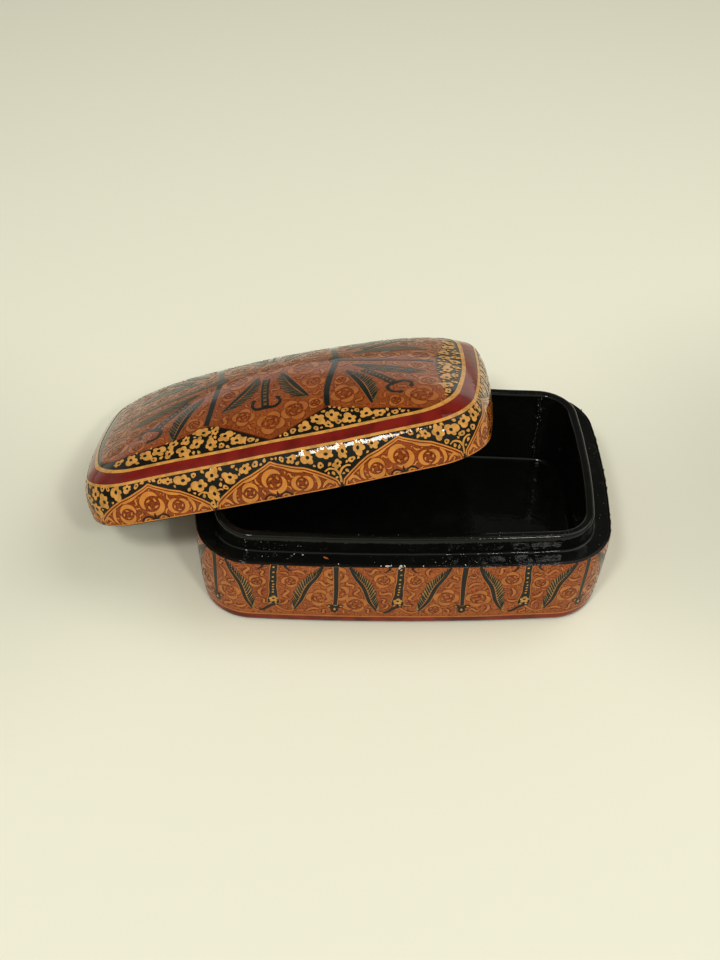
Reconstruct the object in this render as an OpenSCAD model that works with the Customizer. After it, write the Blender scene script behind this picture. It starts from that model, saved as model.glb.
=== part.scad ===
// A lidded box of papier mache in the Kashmiri manner, with its lid taken off and laid askew on the base.
// Lengths are in millimetres and angles in degrees. Z is up, and the front long side looks along -Y.

/* [Plan] */
// Length of the walls at the ledge
length = 127; // [100:1:160]
// Width of the walls at the ledge
width = 81.4; // [68:1:100]
// How far the short ends bow outwards
end_bow = 3.4; // [1:0.1:5]
// How far the long sides bow outwards
side_bow = 2.9; // [1:0.1:5]
// Corner radius in plan
corner_r = 17.5; // [14:0.5:24]

/* [Base] */
// Height of the base up to its ledge
base_h = 26.4; // [20:0.1:36]
// How far the walls draw in towards the foot
base_taper = 2.6; // [0.5:0.1:4]
// Rounding along the foot
foot_r = 1.3; // [0.8:0.1:3]
// Thickness of the pulp floor
floor_t = 4.7; // [3:0.1:8]
// Width of the black ledge that the lid sits on
ledge_w = 5.6; // [4:0.1:7]

/* [Collar] */
// Height of the collar above the ledge
collar_h = 6.1; // [4:0.1:9]
// Thickness of the collar
collar_t = 2.9; // [2:0.1:4]
// Rounding of the collar's top edges
collar_round = 0.9; // [0.3:0.1:1.2]

/* [Lid] */
// Height of the lid from its rim to the top of the dome
lid_h = 27; // [22:0.5:40]
// Height of the shoulder, where the wall turns into the dome
shoulder_h = 12.7; // [10:0.5:18]
// How far the wall draws in up to the shoulder
shoulder_in = 2.5; // [0.5:0.1:4]
// How far the wall draws in down to the rim
rim_in = 0.9; // [0:0.1:1.5]
// Fullness of the dome towards its shoulder
dome_full = 1.8; // [1.5:0.1:3]
// Steepness of the dome at its shoulder
dome_steep = 1.55; // [1.1:0.05:2]
// Angle on the dome's curve at which the wall runs into it, so that the lean carries on without a kink
dome_start = 8; // [4:0.5:14]
// Thickness of the lid's roof
roof_t = 3.6; // [2.5:0.1:5]
// Clearance between the collar and the lid's wall, all round
slip = 0.4; // [0.3:0.05:0.8]

/* [Coats] */
// Thickness of the gesso, paint and varnish outside
skin_t = 0.6; // [0.4:0.05:1.2]
// Thickness of the black lacquer inside
lining_t = 0.4; // [0.3:0.05:0.8]
// Line of glue or size between two layers
glue = 0.05; // [0.03:0.01:0.1]
// Height above the table where the outside coat of the base ends
coat_lift = 0.4; // [0.3:0.1:1]

/* [Rest of the lid] */
// Place along the back where the collar carries the lid's right end
back_rest_x = 25; // [10:1:40]
// Place along the left end where the collar carries the lid's front rim
end_rest_y = -21.3; // [-30:1:-10]
// Angle in the lid's own plane from its long side to the line through both places
skew = 37; // [34:0.5:40]
// Gap left wherever the lid rests
rest_gap = 0.3; // [0.3:0.05:0.6]

/* [Hidden] */
a = length / 2;
b = width / 2;
// A side bowed by s over the half length h is an arc of this radius.
function bow_r(h, s) = (h * h + s * s) / (2 * s);
side_r = bow_r(a, side_bow);
end_r = bow_r(b, end_bow);
// Centres of the back arc and of the right end's arc
side_c = [0, b - side_r];
end_c = [a - end_r, 0];
// The corner arc touches both, so its centre lies where two smaller arcs cross.
cc = end_c - side_c;
cd = norm(cc);
ct = (pow(side_r - corner_r, 2) - pow(end_r - corner_r, 2) + cd * cd) / (2 * cd);
ch = sqrt(pow(side_r - corner_r, 2) - ct * ct);
corner_c = side_c + ct * cc / cd + ch * [cc[1], -cc[0]] / cd;
// Directions, seen from the arcs' centres, in which one arc turns into the next
end_turn = atan2(corner_c[1], corner_c[0] - end_c[0]);
side_turn = atan2(corner_c[1] - side_c[1], corner_c[0]);

// Plan outline, drawn in by d: points on the arcs, the same number for every d.
end_steps = 3;
corner_steps = 8;
side_steps = 4;
function on(c, r, t) = c + r * [cos(t), sin(t)];
function quarter(d) = concat(
    [for (i = [0:end_steps - 1]) on(end_c, end_r - d, end_turn * i / end_steps)],
    [for (i = [0:corner_steps]) on(corner_c, corner_r - d,
        end_turn + (side_turn - end_turn) * i / corner_steps)],
    [for (i = [1:side_steps]) on(side_c, side_r - d, side_turn + (90 - side_turn) * i / side_steps)]);
quarter_n = end_steps + corner_steps + side_steps;
ring_n = 4 * quarter_n;
function outline(d) = let (q = quarter(d)) [for (i = [0:ring_n - 1])
    let (k = floor(i / quarter_n), j = i % quarter_n)
    k == 0 ? q[j]
        : k == 1 ? [-q[quarter_n - j][0], q[quarter_n - j][1]]
        : k == 2 ? -q[j]
        : [q[quarter_n - j][0], -q[quarter_n - j][1]]];

// Base wall: how far it lies in from the plan at height z, with the foot's rounding.
function wall_in(z) = base_taper * pow((base_h - z) / base_h, 1.5)
    + (z < foot_r ? foot_r - sqrt(foot_r * foot_r - pow(foot_r - z, 2)) : 0);
wall_steps = 4;
foot_steps = 3;
// The wall's outside from the height z0 up to the ledge, drawn in by d, as distances in and heights
function wall_line(z0, d) = concat(
    [for (i = [0:foot_steps]) let (z = z0 + (foot_r - z0) * (1 - cos(90 * i / foot_steps))) [wall_in(z) + d, z]],
    [for (i = [1:wall_steps]) let (z = foot_r + (base_h - foot_r) * i / wall_steps) [wall_in(z) + d, z]]);

collar_in = ledge_w + collar_t;
collar_top = base_h + collar_h;
lid_wall = ledge_w - slip;

function ring(d, z) = [for (p = outline(d)) [p[0], p[1], z]];
function flat(rings) = [for (r = rings, p = r) p];
function turn(f, flip) = flip ? [f[0], f[2], f[1]] : f;
// Triangles between the ring that starts at point p and the one that starts at point q
function between(p, q, flip) = [for (i = [0:ring_n - 1], h = [0, 1]) let (j = (i + 1) % ring_n)
    turn(h == 0 ? [p + i, q + i, p + j] : [p + j, q + i, q + j], flip)];
// A closed profile swept along the plan: it goes up the outside, in over the top and down the inside.
module band(line) {
    n = len(line);
    polyhedron(
        points = flat([for (p = line) ring(p[0], p[1])]),
        faces = [for (k = [0:n - 1]) each between(k * ring_n, (k + 1) % n * ring_n, false)],
        convexity = 4);
}

// Base

module base_shell() {
    web = (ledge_w + collar_in) / 2;
    color([0.05, 0.045, 0.04]) union() {
        band(concat(wall_line(0, skin_t + glue),
            [[ledge_w - glue, base_h], [ledge_w - glue, floor_t], [collar_in, floor_t], [collar_in, 0]]));
        linear_extrude(floor_t) polygon(outline(web));
    }
}

module base_skin() {
    out = wall_line(coat_lift, 0);
    color([0.62, 0.27, 0.09])
        band(concat(out, [for (i = [len(out) - 1:-1:0]) out[i] + [skin_t, 0]]));
}

module collar() {
    r = collar_round;
    lo = floor_t + glue;
    color([0.035, 0.035, 0.035]) band(concat(
        [[ledge_w, lo]],
        [for (t = [0:30:90]) [ledge_w + r - r * cos(t), collar_top - r + r * sin(t)]],
        [for (t = [90:-30:0]) [collar_in - r + r * cos(t), collar_top - r + r * sin(t)]],
        [[collar_in, lo]]));
}

module floor_lining() {
    color([0.03, 0.03, 0.03]) translate([0, 0, floor_t + glue])
        linear_extrude(lining_t) polygon(outline(collar_in + glue));
}

// Lid, drawn with its rim on the plane z = 0 and then laid down

wall_rings = 3;
dome_rings = 8;
// How far the lid's outside lies in from the plan at height z
function lid_in(z) = rim_in * pow(1 - z / shoulder_h, 2) + shoulder_in * pow(z / shoulder_h, 3);
// The dome's rings shrink towards its top point and turn from the plan's outline into an ellipse on the way.
dome_t = [for (i = [1:dome_rings]) dome_start + (90 - dome_start) * i / (dome_rings + 1)];
function dome_size(t) = pow(cos(t) / cos(dome_start), 2 / dome_full);
start_rise = pow(sin(dome_start), 2 / dome_steep);
function dome_rise(t) = (pow(sin(t), 2 / dome_steep) - start_rise) / (1 - start_rise);
function dome_ring(plan, s, z) = let (p0 = plan[0][0], p1 = plan[quarter_n][1]) [for (p = plan)
    let (t = atan2(p[1] / p1, p[0] / p0))
        [s * (s * p[0] + (1 - s) * p0 * cos(t)), s * (s * p[1] + (1 - s) * p1 * sin(t)), z]];
function dome(plan, spring, top) = [for (t = dome_t)
    dome_ring(plan, dome_size(t), spring + (top - spring) * dome_rise(t))];
// Rings of the surface that lies d under the lid's outside, from the rim to the dome, without its top point
function outer_rings(d) = concat(
    [for (i = [0:wall_rings]) let (z = shoulder_h * i / wall_rings) ring(lid_in(z) + d, z)],
    dome(outline(shoulder_in + d), shoulder_h, lid_h - d));
// The same for the hollow: d is how far the surface lies outside the finished hollow.
hollow_h = lid_h - roof_t;
spring_h = shoulder_h - roof_t + 1;
function inner_rings(d) = concat(
    [for (i = [0:2]) ring(lid_wall - d, spring_h * i / 2)],
    dome(outline(lid_wall - d), spring_h, hollow_h + d));

// A cap between two sets of rings, closed by a flat rim at z = 0
function shut(n0, rings, flip) = concat(
    [for (k = [0:rings - 2]) each between(n0 + k * ring_n, n0 + (k + 1) * ring_n, flip)],
    [for (i = [0:ring_n - 1]) let (p = n0 + (rings - 1) * ring_n)
        turn([p + i, n0 + rings * ring_n, p + (i + 1) % ring_n], flip)]);
module cap(outer, outer_top, inner, inner_top) {
    n1 = len(outer) * ring_n + 1;
    polyhedron(
        points = concat(flat(outer), [[0, 0, outer_top]], flat(inner), [[0, 0, inner_top]]),
        faces = concat(shut(0, len(outer), false), shut(n1, len(inner), true), between(n1, 0, false)),
        convexity = 4);
}

// Where the collar's outer edge carries the lid
back_rest = [back_rest_x, side_c[1] + sqrt(pow(side_r - ledge_w, 2) - pow(back_rest_x, 2))];
end_rest = [-end_c[0] - sqrt(pow(end_r - ledge_w, 2) - pow(end_rest_y, 2)), end_rest_y];
span = norm(back_rest - end_rest);
heading = atan2(back_rest[1] - end_rest[1], back_rest[0] - end_rest[0]);
// The same two places on the inner faces of the lid's walls: its right end at height v, its front at place u.
function end_face(v) = end_c[0] + sqrt(pow(end_r - lid_wall, 2) - v * v);
function front_face(u) = -side_c[1] - sqrt(pow(side_r - lid_wall, 2) - u * u);
// The right end's v, found by going back and forth between the faces a few times
function find_v(v, n) = n == 0 ? v
    : find_v(front_face(end_face(v) - span * cos(skew)) + span * sin(skew), n - 1);
lid_v = find_v(b / 2, 8);
lid_u = end_face(lid_v) - span * cos(skew);
front_rest = [lid_u, front_face(lid_u)];
// The rim leans about that line until its farthest corner comes down to the table.
reach = max([for (p = outline(rim_in)) (p - front_rest) * [-sin(skew), cos(skew)]]);
lean_guess = asin(collar_top / reach);
line_h = collar_top + rest_gap / cos(lean_guess);
lean = asin((line_h - rest_gap) / reach);

module lay_down() {
    translate([end_rest[0], end_rest[1], line_h]) rotate([0, 0, heading]) rotate([-lean, 0, 0])
        rotate([0, 0, -skew]) translate([-front_rest[0], -front_rest[1], 0]) children();
}

module lid_skin() {
    color([0.66, 0.3, 0.1]) lay_down()
        cap(outer_rings(0), lid_h, outer_rings(skin_t), lid_h - skin_t);
}

module lid_shell() {
    d = skin_t + glue;
    e = lining_t + glue;
    color([0.55, 0.45, 0.32]) lay_down()
        cap(outer_rings(d), lid_h - d, inner_rings(e), hollow_h + e);
}

module lid_lining() {
    color([0.03, 0.03, 0.03]) lay_down()
        cap(inner_rings(lining_t), hollow_h + lining_t, inner_rings(0), hollow_h);
}

base_shell();
base_skin();
collar();
floor_lining();
lid_shell();
lid_skin();
lid_lining();
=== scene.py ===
"""A lidded box of papier mache in the Kashmiri manner, with its lid laid askew on the base.

The panels hold lengths in metres. The shapes and the painted ornament are worked out in millimetres,
and new_piece() turns them into metres. A chart is a function of two numbers that gives points on a surface:
  wall(w, z)  w runs round the plan anticlockwise from the middle of the right end, z is the height
  top(x, y)   x and y are the place in plan
The ornament is drawn in charts and laid on the surface as thin closed pieces.
"""

import math

import bpy
import numpy as np
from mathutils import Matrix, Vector


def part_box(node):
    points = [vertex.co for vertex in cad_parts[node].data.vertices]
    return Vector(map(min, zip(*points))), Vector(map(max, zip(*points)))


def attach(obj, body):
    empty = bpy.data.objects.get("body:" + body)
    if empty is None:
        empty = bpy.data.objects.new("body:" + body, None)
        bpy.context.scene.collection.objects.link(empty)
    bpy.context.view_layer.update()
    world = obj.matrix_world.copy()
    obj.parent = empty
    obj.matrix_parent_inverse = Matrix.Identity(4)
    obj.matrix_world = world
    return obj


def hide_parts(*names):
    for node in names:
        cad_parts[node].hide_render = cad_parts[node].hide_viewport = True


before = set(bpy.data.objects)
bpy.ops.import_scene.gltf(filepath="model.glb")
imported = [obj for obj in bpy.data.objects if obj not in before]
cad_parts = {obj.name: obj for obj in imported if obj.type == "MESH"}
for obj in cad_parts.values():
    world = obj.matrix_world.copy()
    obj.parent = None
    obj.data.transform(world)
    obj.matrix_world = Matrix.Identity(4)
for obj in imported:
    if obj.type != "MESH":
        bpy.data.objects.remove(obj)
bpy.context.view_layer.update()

bl_info = {
    "name": "Papier mache box",
    "version": (1, 0, 0),
    "blender": (4, 5, 0),
    "location": "3D View > Sidebar > Box",
    "description": "Builds a painted and lacquered papier mache box with its lid laid askew",
    "category": "Add Mesh",
}

MM = 0.001
# Points round the plan of a smooth piece
PLAN_POINTS = 480


def span_of(node, axis):
    """Size of a node of the frame along an axis, in metres."""
    low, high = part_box(node)
    return high[axis] - low[axis]


def top_of(node):
    """Height of a node's highest point, in metres."""
    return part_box(node)[1][2]


def length_prop(name, text, default):
    return bpy.props.FloatProperty(name=name, description=text, default=default, unit="LENGTH", precision=5)


def colour_prop(name, text, default):
    return bpy.props.FloatVectorProperty(
        name=name, description=text, default=default, subtype="COLOR", min=0, max=1)


def number_prop(name, text, default, **more):
    return bpy.props.FloatProperty(name=name, description=text, default=default, **more)


class BoxSizes(bpy.types.PropertyGroup):
    """Sizes of the box. Where the frame shows a size, its default comes from there."""

    length: length_prop("Length", "Length of the walls at the ledge", span_of("base_skin", 0))
    width: length_prop("Width", "Width of the walls at the ledge", span_of("base_skin", 1))
    end_bow: length_prop("End bow", "How far the short ends bow outwards", 0.0034)
    side_bow: length_prop("Side bow", "How far the long sides bow outwards", 0.0029)
    corner_r: length_prop("Corner radius", "Corner radius in plan", 0.0175)
    base_h: length_prop("Base height", "Height of the base up to its ledge", top_of("base_skin"))
    base_taper: length_prop("Base taper", "How far the walls draw in towards the foot", 0.0026)
    foot_r: length_prop("Foot rounding", "Rounding along the foot", 0.0013)
    floor_t: length_prop("Floor", "Thickness of the pulp floor", 0.0047)
    ledge_w: length_prop("Ledge width", "Width of the ledge that the lid sits on", 0.0056)
    collar_t: length_prop("Collar thickness", "Thickness of the collar", 0.0029)
    collar_round: length_prop("Collar rounding", "Rounding of the collar's top edges", 0.0009)
    lid_h: length_prop("Lid height", "Height of the lid from its rim to the top of the dome", 0.027)
    shoulder_h: length_prop("Shoulder height", "Height where the lid's wall turns into the dome", 0.0127)
    shoulder_in: length_prop("Shoulder draw-in", "How far the lid's wall draws in to the shoulder", 0.0025)
    rim_in: length_prop("Rim draw-in", "How far the lid's wall draws in down to the rim", 0.0009)
    dome_full: number_prop("Dome fullness", "Fullness of the dome towards its shoulder", 1.8)
    dome_steep: number_prop("Dome steepness", "Steepness of the dome at its shoulder", 1.55)
    dome_start: number_prop("Dome start", "Angle on the dome's curve where the wall runs into it",
                            math.radians(8), subtype="ANGLE")
    roof_t: length_prop("Roof", "Thickness of the lid's roof", 0.0036)
    slip: length_prop("Slip", "Clearance between the collar and the lid's wall", 0.0004)
    coat: length_prop("Outside coat", "Thickness of the gesso, paint and varnish", 0.0006)
    lining: length_prop("Lining", "Thickness of the black lacquer inside", 0.0004)
    glue: length_prop("Glue line", "Gap between two layers", 0.00005)
    coat_lift: length_prop("Coat lift", "Height above the table where the base's coat ends", 0.0004)
    relief: length_prop("Relief", "How far the ground of the painting lies under its highest line", 0.00012)
    rest_x: length_prop("Back rest", "Place along the back where the collar carries the lid", 0.025)
    rest_y: length_prop("End rest", "Place along the left end where the collar carries the lid", -0.0213)
    skew: number_prop("Skew", "Angle in the lid's plane from its long side to the line through both rests",
                      math.radians(37), subtype="ANGLE")
    rest_gap: length_prop("Rest gap", "Gap left wherever the lid rests", 0.0003)
    pattern_start: length_prop("Pattern start",
                               "Middle of the first repeat, from the middle of the front", -0.0019)


class BoxPaints(bpy.types.PropertyGroup):
    """Colours of the paints and lacquers, linear."""

    rust: colour_prop("Rust", "Ground of the painted panels", (0.36, 0.096, 0.021))
    rust_dark: colour_prop("Dark rust", "Shade in the ground of the panels", (0.27, 0.062, 0.013))
    field: colour_prop("Field", "Ground of the field on the lid", (0.275, 0.066, 0.013))
    medallion: colour_prop("Medallion", "Ground of the medallions", (0.28, 0.058, 0.009))
    red_line: colour_prop("Red line", "Fine line of the scrolls", (0.13, 0.019, 0.004))
    petal: colour_prop("Petal", "Leaves of the scrolls on the base", (0.46, 0.155, 0.032))
    leaf: colour_prop("Leaf", "Leaves of the scrolls on the lid's field", (0.36, 0.11, 0.024))
    strap: colour_prop("Strap", "Leaves of the scrolls in the medallions", (0.58, 0.215, 0.038))
    gold: colour_prop("Gold", "Florets and rules", (0.60, 0.285, 0.062))
    crimson: colour_prop("Crimson", "The lid's band", (0.18, 0.012, 0.008))
    foot_line: colour_prop("Foot line", "Line along the foot of the base", (0.22, 0.024, 0.012))
    black: colour_prop("Painted black", "Black ground between the florets", (0.006, 0.006, 0.004))
    stem: colour_prop("Stem", "Black green of stems and leaf spines", (0.011, 0.015, 0.012))
    tan: colour_prop("Tan", "Ground of the feathered leaves on the base", (0.30, 0.18, 0.05))
    olive: colour_prop("Olive", "Ground of the feathered leaves on the lid", (0.13, 0.075, 0.024))
    # Grey specks: dust, and also painted glints on the black lacquer
    dust: colour_prop("Dust", "Grey dust and bare specks on the lacquer", (0.30, 0.30, 0.25))
    lacquer: colour_prop("Lacquer", "Lacquer of the collar, ledge and linings", (0.0025, 0.0027, 0.0022))
    gesso: colour_prop("Gesso", "White ground that shows where the lacquer is chipped", (0.62, 0.62, 0.54))
    pulp: colour_prop("Pulp", "Pressed paper pulp", (0.42, 0.34, 0.23))


class StageSetup(bpy.types.PropertyGroup):
    """The table, the lamps and the camera."""

    floor_colour: colour_prop("Floor", "Colour of the table", (0.80, 0.795, 0.66))
    floor_size: length_prop("Floor size", "Side of the square table", 2.4)
    ceiling: number_prop("Ceiling", "Brightness of the room above", 0.98)
    horizon: number_prop("Horizon", "Brightness of the room at eye level", 0.27)
    hatch: number_prop("Dark part", "How much darker the room is straight above and behind", 0.86)
    glow: number_prop("Back wall", "Brightness added low behind the box", 0.8)
    soft_lamp: number_prop("Soft lamp", "Power of the large lamp above on the right", 15.0, unit="POWER")
    small_lamp: number_prop("Small lamps", "Power of each small lamp in front", 8.5, unit="POWER")
    lamp_far: length_prop("Lamp distance", "Distance of the lamps from the box", 2.2)
    place: bpy.props.FloatVectorProperty(
        name="Camera", description="Place of the camera", default=(-0.04942, -0.46582, 0.45133),
        subtype="TRANSLATION", unit="LENGTH", precision=5)
    aim: bpy.props.FloatVectorProperty(
        name="Aim", description="Turn of the camera", default=(0.828966, -0.042172, -0.040647),
        subtype="EULER")
    lens: number_prop("Lens", "Focal length", 77.08, unit="CAMERA")


def millimetres(group):
    """The group's lengths in millimetres, and its other numbers as they are, by name."""
    values = {}
    for prop in group.bl_rna.properties:
        if prop.type == "FLOAT" and not prop.is_array:
            value = getattr(group, prop.identifier)
            values[prop.identifier] = value / MM if prop.unit == "LENGTH" else value
    return values


class Box:
    """The box's surfaces as functions of arrays, in millimetres.

    The plan is made of arcs: each side is bowed, and a corner arc touches both. The arcs keep their centres
    when the outline is drawn in, so the same w names the same place at every distance in.
    """

    def __init__(self):
        self.__dict__.update(millimetres(bpy.context.scene.box_sizes))
        self.a, self.b = self.length / 2, self.width / 2
        self.side_r = self.bow_radius(self.a, self.side_bow)
        self.end_r = self.bow_radius(self.b, self.end_bow)
        self.side_c = np.array([0, self.b - self.side_r])
        self.end_c = np.array([self.a - self.end_r, 0])
        apart = self.end_c - self.side_c
        distance = np.hypot(*apart)
        side_reach, end_reach = self.side_r - self.corner_r, self.end_r - self.corner_r
        along = (side_reach**2 - end_reach**2 + distance**2) / (2 * distance)
        across = math.sqrt(side_reach**2 - along**2)
        self.corner_c = (self.side_c + along * apart / distance
                         + across * np.array([apart[1], -apart[0]]) / distance)
        self.end_turn = math.atan2(self.corner_c[1], self.corner_c[0] - self.end_c[0])
        self.side_turn = math.atan2(self.corner_c[1] - self.side_c[1], self.corner_c[0])
        self.end_len = self.end_r * self.end_turn
        self.corner_len = self.corner_r * (self.side_turn - self.end_turn)
        self.side_len = self.side_r * (math.pi / 2 - self.side_turn)
        self.quarter = self.end_len + self.corner_len + self.side_len
        self.round = 4 * self.quarter
        self.front = 3 * self.quarter
        self.collar_in = self.ledge_w + self.collar_t
        self.collar_top = top_of("collar") / MM
        self.lid_wall = self.ledge_w - self.slip
        self.spring_h = self.shoulder_h - self.roof_t + 1
        self.hollow_h = self.lid_h - self.roof_t
        self.height_step = 0.5
        self.heights = self.height_grid()
        self.turn, self.shift = self.lay_down()

    def around(self, count, start=0.5):
        """Lengths round the plan, evenly spaced; start is the first one's share of a step."""
        return (np.arange(count) + start) * self.round / count

    @staticmethod
    def bow_radius(half, bow):
        """Radius of the arc that is bowed by bow over the half length half."""
        return (half * half + bow * bow) / (2 * bow)

    def outline(self, w, d):
        """The plan's outline drawn in by d, at the length w round it: a point on one of three arcs,
        mirrored."""
        w, d = np.broadcast_arrays(np.asarray(w, float), np.asarray(d, float))
        w = np.mod(w, self.round)
        part = np.minimum(np.floor(w / self.quarter).astype(int), 3)
        f = w - part * self.quarter
        f = np.where(part % 2 == 1, self.quarter - f, f)
        on_end, on_corner = f < self.end_len, f < self.end_len + self.corner_len
        corner_angle = self.end_turn + (f - self.end_len) / self.corner_r
        side_angle = self.side_turn + (f - self.end_len - self.corner_len) / self.side_r
        angle = np.where(on_end, f / self.end_r, np.where(on_corner, corner_angle, side_angle))
        cx = np.where(on_end, self.end_c[0], np.where(on_corner, self.corner_c[0], self.side_c[0]))
        cy = np.where(on_end, self.end_c[1], np.where(on_corner, self.corner_c[1], self.side_c[1]))
        r = np.where(on_end, self.end_r, np.where(on_corner, self.corner_r, self.side_r)) - d
        x_sign = np.where((part == 0) | (part == 3), 1, -1)
        y_sign = np.where(part < 2, 1, -1)
        return np.stack([x_sign * (cx + r * np.cos(angle)), y_sign * (cy + r * np.sin(angle))], -1)

    def at(self, w, d, z):
        """Point of the outline drawn in by d, at the height z."""
        flat = self.outline(w, d)
        return np.concatenate([flat, np.broadcast_to(z, flat.shape[:-1])[..., None]], -1)

    def wall_in(self, z):
        """How far the base's wall lies in at height z: a taper of power 1.5 and the foot's rounding."""
        z = np.asarray(z, float)
        taper = self.base_taper * np.clip((self.base_h - z) / self.base_h, 0, 1) ** 1.5
        below = np.clip(self.foot_r - z, 0, self.foot_r)
        return taper + self.foot_r - np.sqrt(self.foot_r**2 - below**2)

    def lid_in(self, z):
        """How far the lid's wall lies in at height z: drawn in a little to the rim and more to the
        shoulder."""
        part = np.clip(np.asarray(z, float) / self.shoulder_h, 0, 1)
        return self.rim_in * (1 - part) ** 2 + self.shoulder_in * part**3

    def base_wall(self, w, z):
        """Chart of the ground of the painting on the base."""
        return self.at(w, self.wall_in(z) + self.relief, z)

    def dome_size(self, t):
        """Size of the dome's ring at the angle t: a power of the cosine that is 1 at the shoulder."""
        return (np.cos(t) / math.cos(self.dome_start)) ** (2 / self.dome_full)

    def dome_rise(self, t):
        """Share of the dome's height at the angle t: a power of the sine, from 0 at the shoulder to 1."""
        power = 2 / self.dome_steep
        start = math.sin(self.dome_start) ** power
        return (np.sin(t) ** power - start) / (1 - start)

    def dome_angle(self, rise):
        """The angle at which the dome has risen by this share."""
        power = 2 / self.dome_steep
        start = math.sin(self.dome_start) ** power
        return np.arcsin(np.clip(start + rise * (1 - start), 0, 1) ** (1 / power))

    def dome(self, w, t, inset, spring, top):
        """A dome over the outline drawn in by inset: its rings shrink and turn into an ellipse towards
        the top."""
        flat = self.outline(w, inset)
        p0, p1 = self.a - inset, self.b - inset
        angle = np.arctan2(flat[..., 1] / p1, flat[..., 0] / p0)
        ellipse = np.stack([p0 * np.cos(angle), p1 * np.sin(angle)], -1)
        size = self.dome_size(t)[..., None]
        ring = size * (size * flat + (1 - size) * ellipse)
        z = spring + (top - spring) * self.dome_rise(t)
        return np.concatenate([ring, np.broadcast_to(z, ring.shape[:-1])[..., None]], -1)

    def lid_side(self, w, z):
        """Chart of the ground of the painting on the lid's wall and on the dome above it, in the lid's
        frame."""
        w, z = np.broadcast_arrays(np.asarray(w, float), np.asarray(z, float))
        wall = self.at(w, self.lid_in(z) + self.relief, z)
        top = self.lid_h - self.relief
        angle = self.dome_angle((z - self.shoulder_h) / (top - self.shoulder_h))
        dome = self.dome(w, angle, self.shoulder_in + self.relief, self.shoulder_h, top)
        return np.where((z < self.shoulder_h)[..., None], wall, dome)

    def height_grid(self):
        """Heights of the dome over a quarter of its plan: for each grid point, the ring through it is
        found along its own direction from the rings' radii."""
        inset = self.shoulder_in + self.relief
        step = self.height_step
        x = np.arange(0, self.a, step)
        y = np.arange(0, self.b, step)
        gx, gy = np.meshgrid(x, y, indexing="ij")
        directions, ring_count, ring_points = 241, 420, 500
        angles = np.linspace(0, math.pi / 2, directions)
        sizes = np.linspace(0, self.dome_size(0.0), ring_count)
        t = np.arccos(np.clip(sizes ** (self.dome_full / 2) * math.cos(self.dome_start), 0, 1))
        w = np.linspace(0, self.quarter, ring_points)
        top = self.lid_h - self.relief
        rings = self.dome(w[None], t[:, None], inset, self.shoulder_h, top)
        turn = np.arctan2(rings[..., 1], rings[..., 0])
        radius = np.hypot(rings[..., 0], rings[..., 1])
        table = np.array([np.interp(angles, a, r) for a, r in zip(turn, radius)])
        place = np.arctan2(gy, gx).ravel() / angles[1]
        low = np.minimum(place.astype(int), len(angles) - 2)
        part = place - low
        along = table[:, low] * (1 - part) + table[:, low + 1] * part
        r = np.hypot(gx, gy).ravel()
        k = np.clip((along < r).sum(0), 1, len(sizes) - 1)
        below, above = (np.take_along_axis(along, row[None], 0)[0] for row in (k - 1, k))
        share = np.clip((r - below) / (above - below), 0, 2)
        angle = t[k - 1] + share * (t[k] - t[k - 1])
        z = self.shoulder_h + (top - self.shoulder_h) * self.dome_rise(np.clip(angle, 0.02, math.pi / 2))
        return np.pad(z.reshape(gx.shape), ((2, 3), (2, 3)), mode="reflect")

    def top(self, x, y):
        """Chart of the dome in plan, in the lid's frame: heights from the grid by cubic interpolation."""
        x, y = np.broadcast_arrays(np.asarray(x, float), np.asarray(y, float))
        u, v = np.abs(x) / self.height_step, np.abs(y) / self.height_step
        rows, columns = self.heights.shape
        i = np.clip(np.floor(u).astype(int), 0, rows - 6)
        j = np.clip(np.floor(v).astype(int), 0, columns - 6)
        wu, wv = cubic_weights(u - i), cubic_weights(v - j)
        z = sum(wu[p] * wv[q] * self.heights[i + p + 1, j + q + 1] for p in range(4) for q in range(4))
        return np.stack([x, y, z], -1)

    def lay_down(self):
        """The lid's turn and shift. It leans on the base's collar at the back and at the left end, about
        the line through both places, until its farthest rim corner comes down to the table."""
        ledge_side, ledge_end = self.side_r - self.ledge_w, self.end_r - self.ledge_w
        back = np.array([self.rest_x, self.side_c[1] + math.sqrt(ledge_side**2 - self.rest_x**2)])
        end = np.array([-self.end_c[0] - math.sqrt(ledge_end**2 - self.rest_y**2), self.rest_y])
        span = np.hypot(*(back - end))
        heading = math.atan2(*(back - end)[::-1])
        side_wall, end_wall = self.side_r - self.lid_wall, self.end_r - self.lid_wall
        v, rounds = self.b / 2, 8
        for _ in range(rounds):
            face = self.end_c[0] + math.sqrt(end_wall**2 - v * v)
            u = face - span * math.cos(self.skew)
            v = -self.side_c[1] - math.sqrt(side_wall**2 - u * u) + span * math.sin(self.skew)
        u = self.end_c[0] + math.sqrt(end_wall**2 - v * v) - span * math.cos(self.skew)
        front = np.array([u, -self.side_c[1] - math.sqrt(side_wall**2 - u * u)])
        rim = self.outline(np.linspace(0, self.round, 4000), self.rim_in)
        reach = ((rim - front) @ np.array([-math.sin(self.skew), math.cos(self.skew)])).max()
        line_h = self.collar_top + self.rest_gap / math.cos(math.asin(self.collar_top / reach))
        lean = math.asin((line_h - self.rest_gap) / reach)
        turn = about(2, heading) @ about(0, -lean) @ about(2, -self.skew)
        return turn, np.array([*end, line_h]) - turn @ np.array([*front, 0])


def about(axis, angle):
    """Rotation matrix about axis 0, 1 or 2."""
    i, j = [(1, 2), (2, 0), (0, 1)][axis]
    m = np.eye(3)
    m[i, i] = m[j, j] = math.cos(angle)
    m[i, j], m[j, i] = -math.sin(angle), math.sin(angle)
    return m


def cubic_weights(t):
    """The four weights of a Catmull-Rom curve at the part t of its middle span."""
    return (-t / 2 + t**2 - t**3 / 2, 1 - 2.5 * t**2 + 1.5 * t**3,
            t / 2 + 2 * t**2 - 1.5 * t**3, (t**3 - t**2) / 2)


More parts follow.
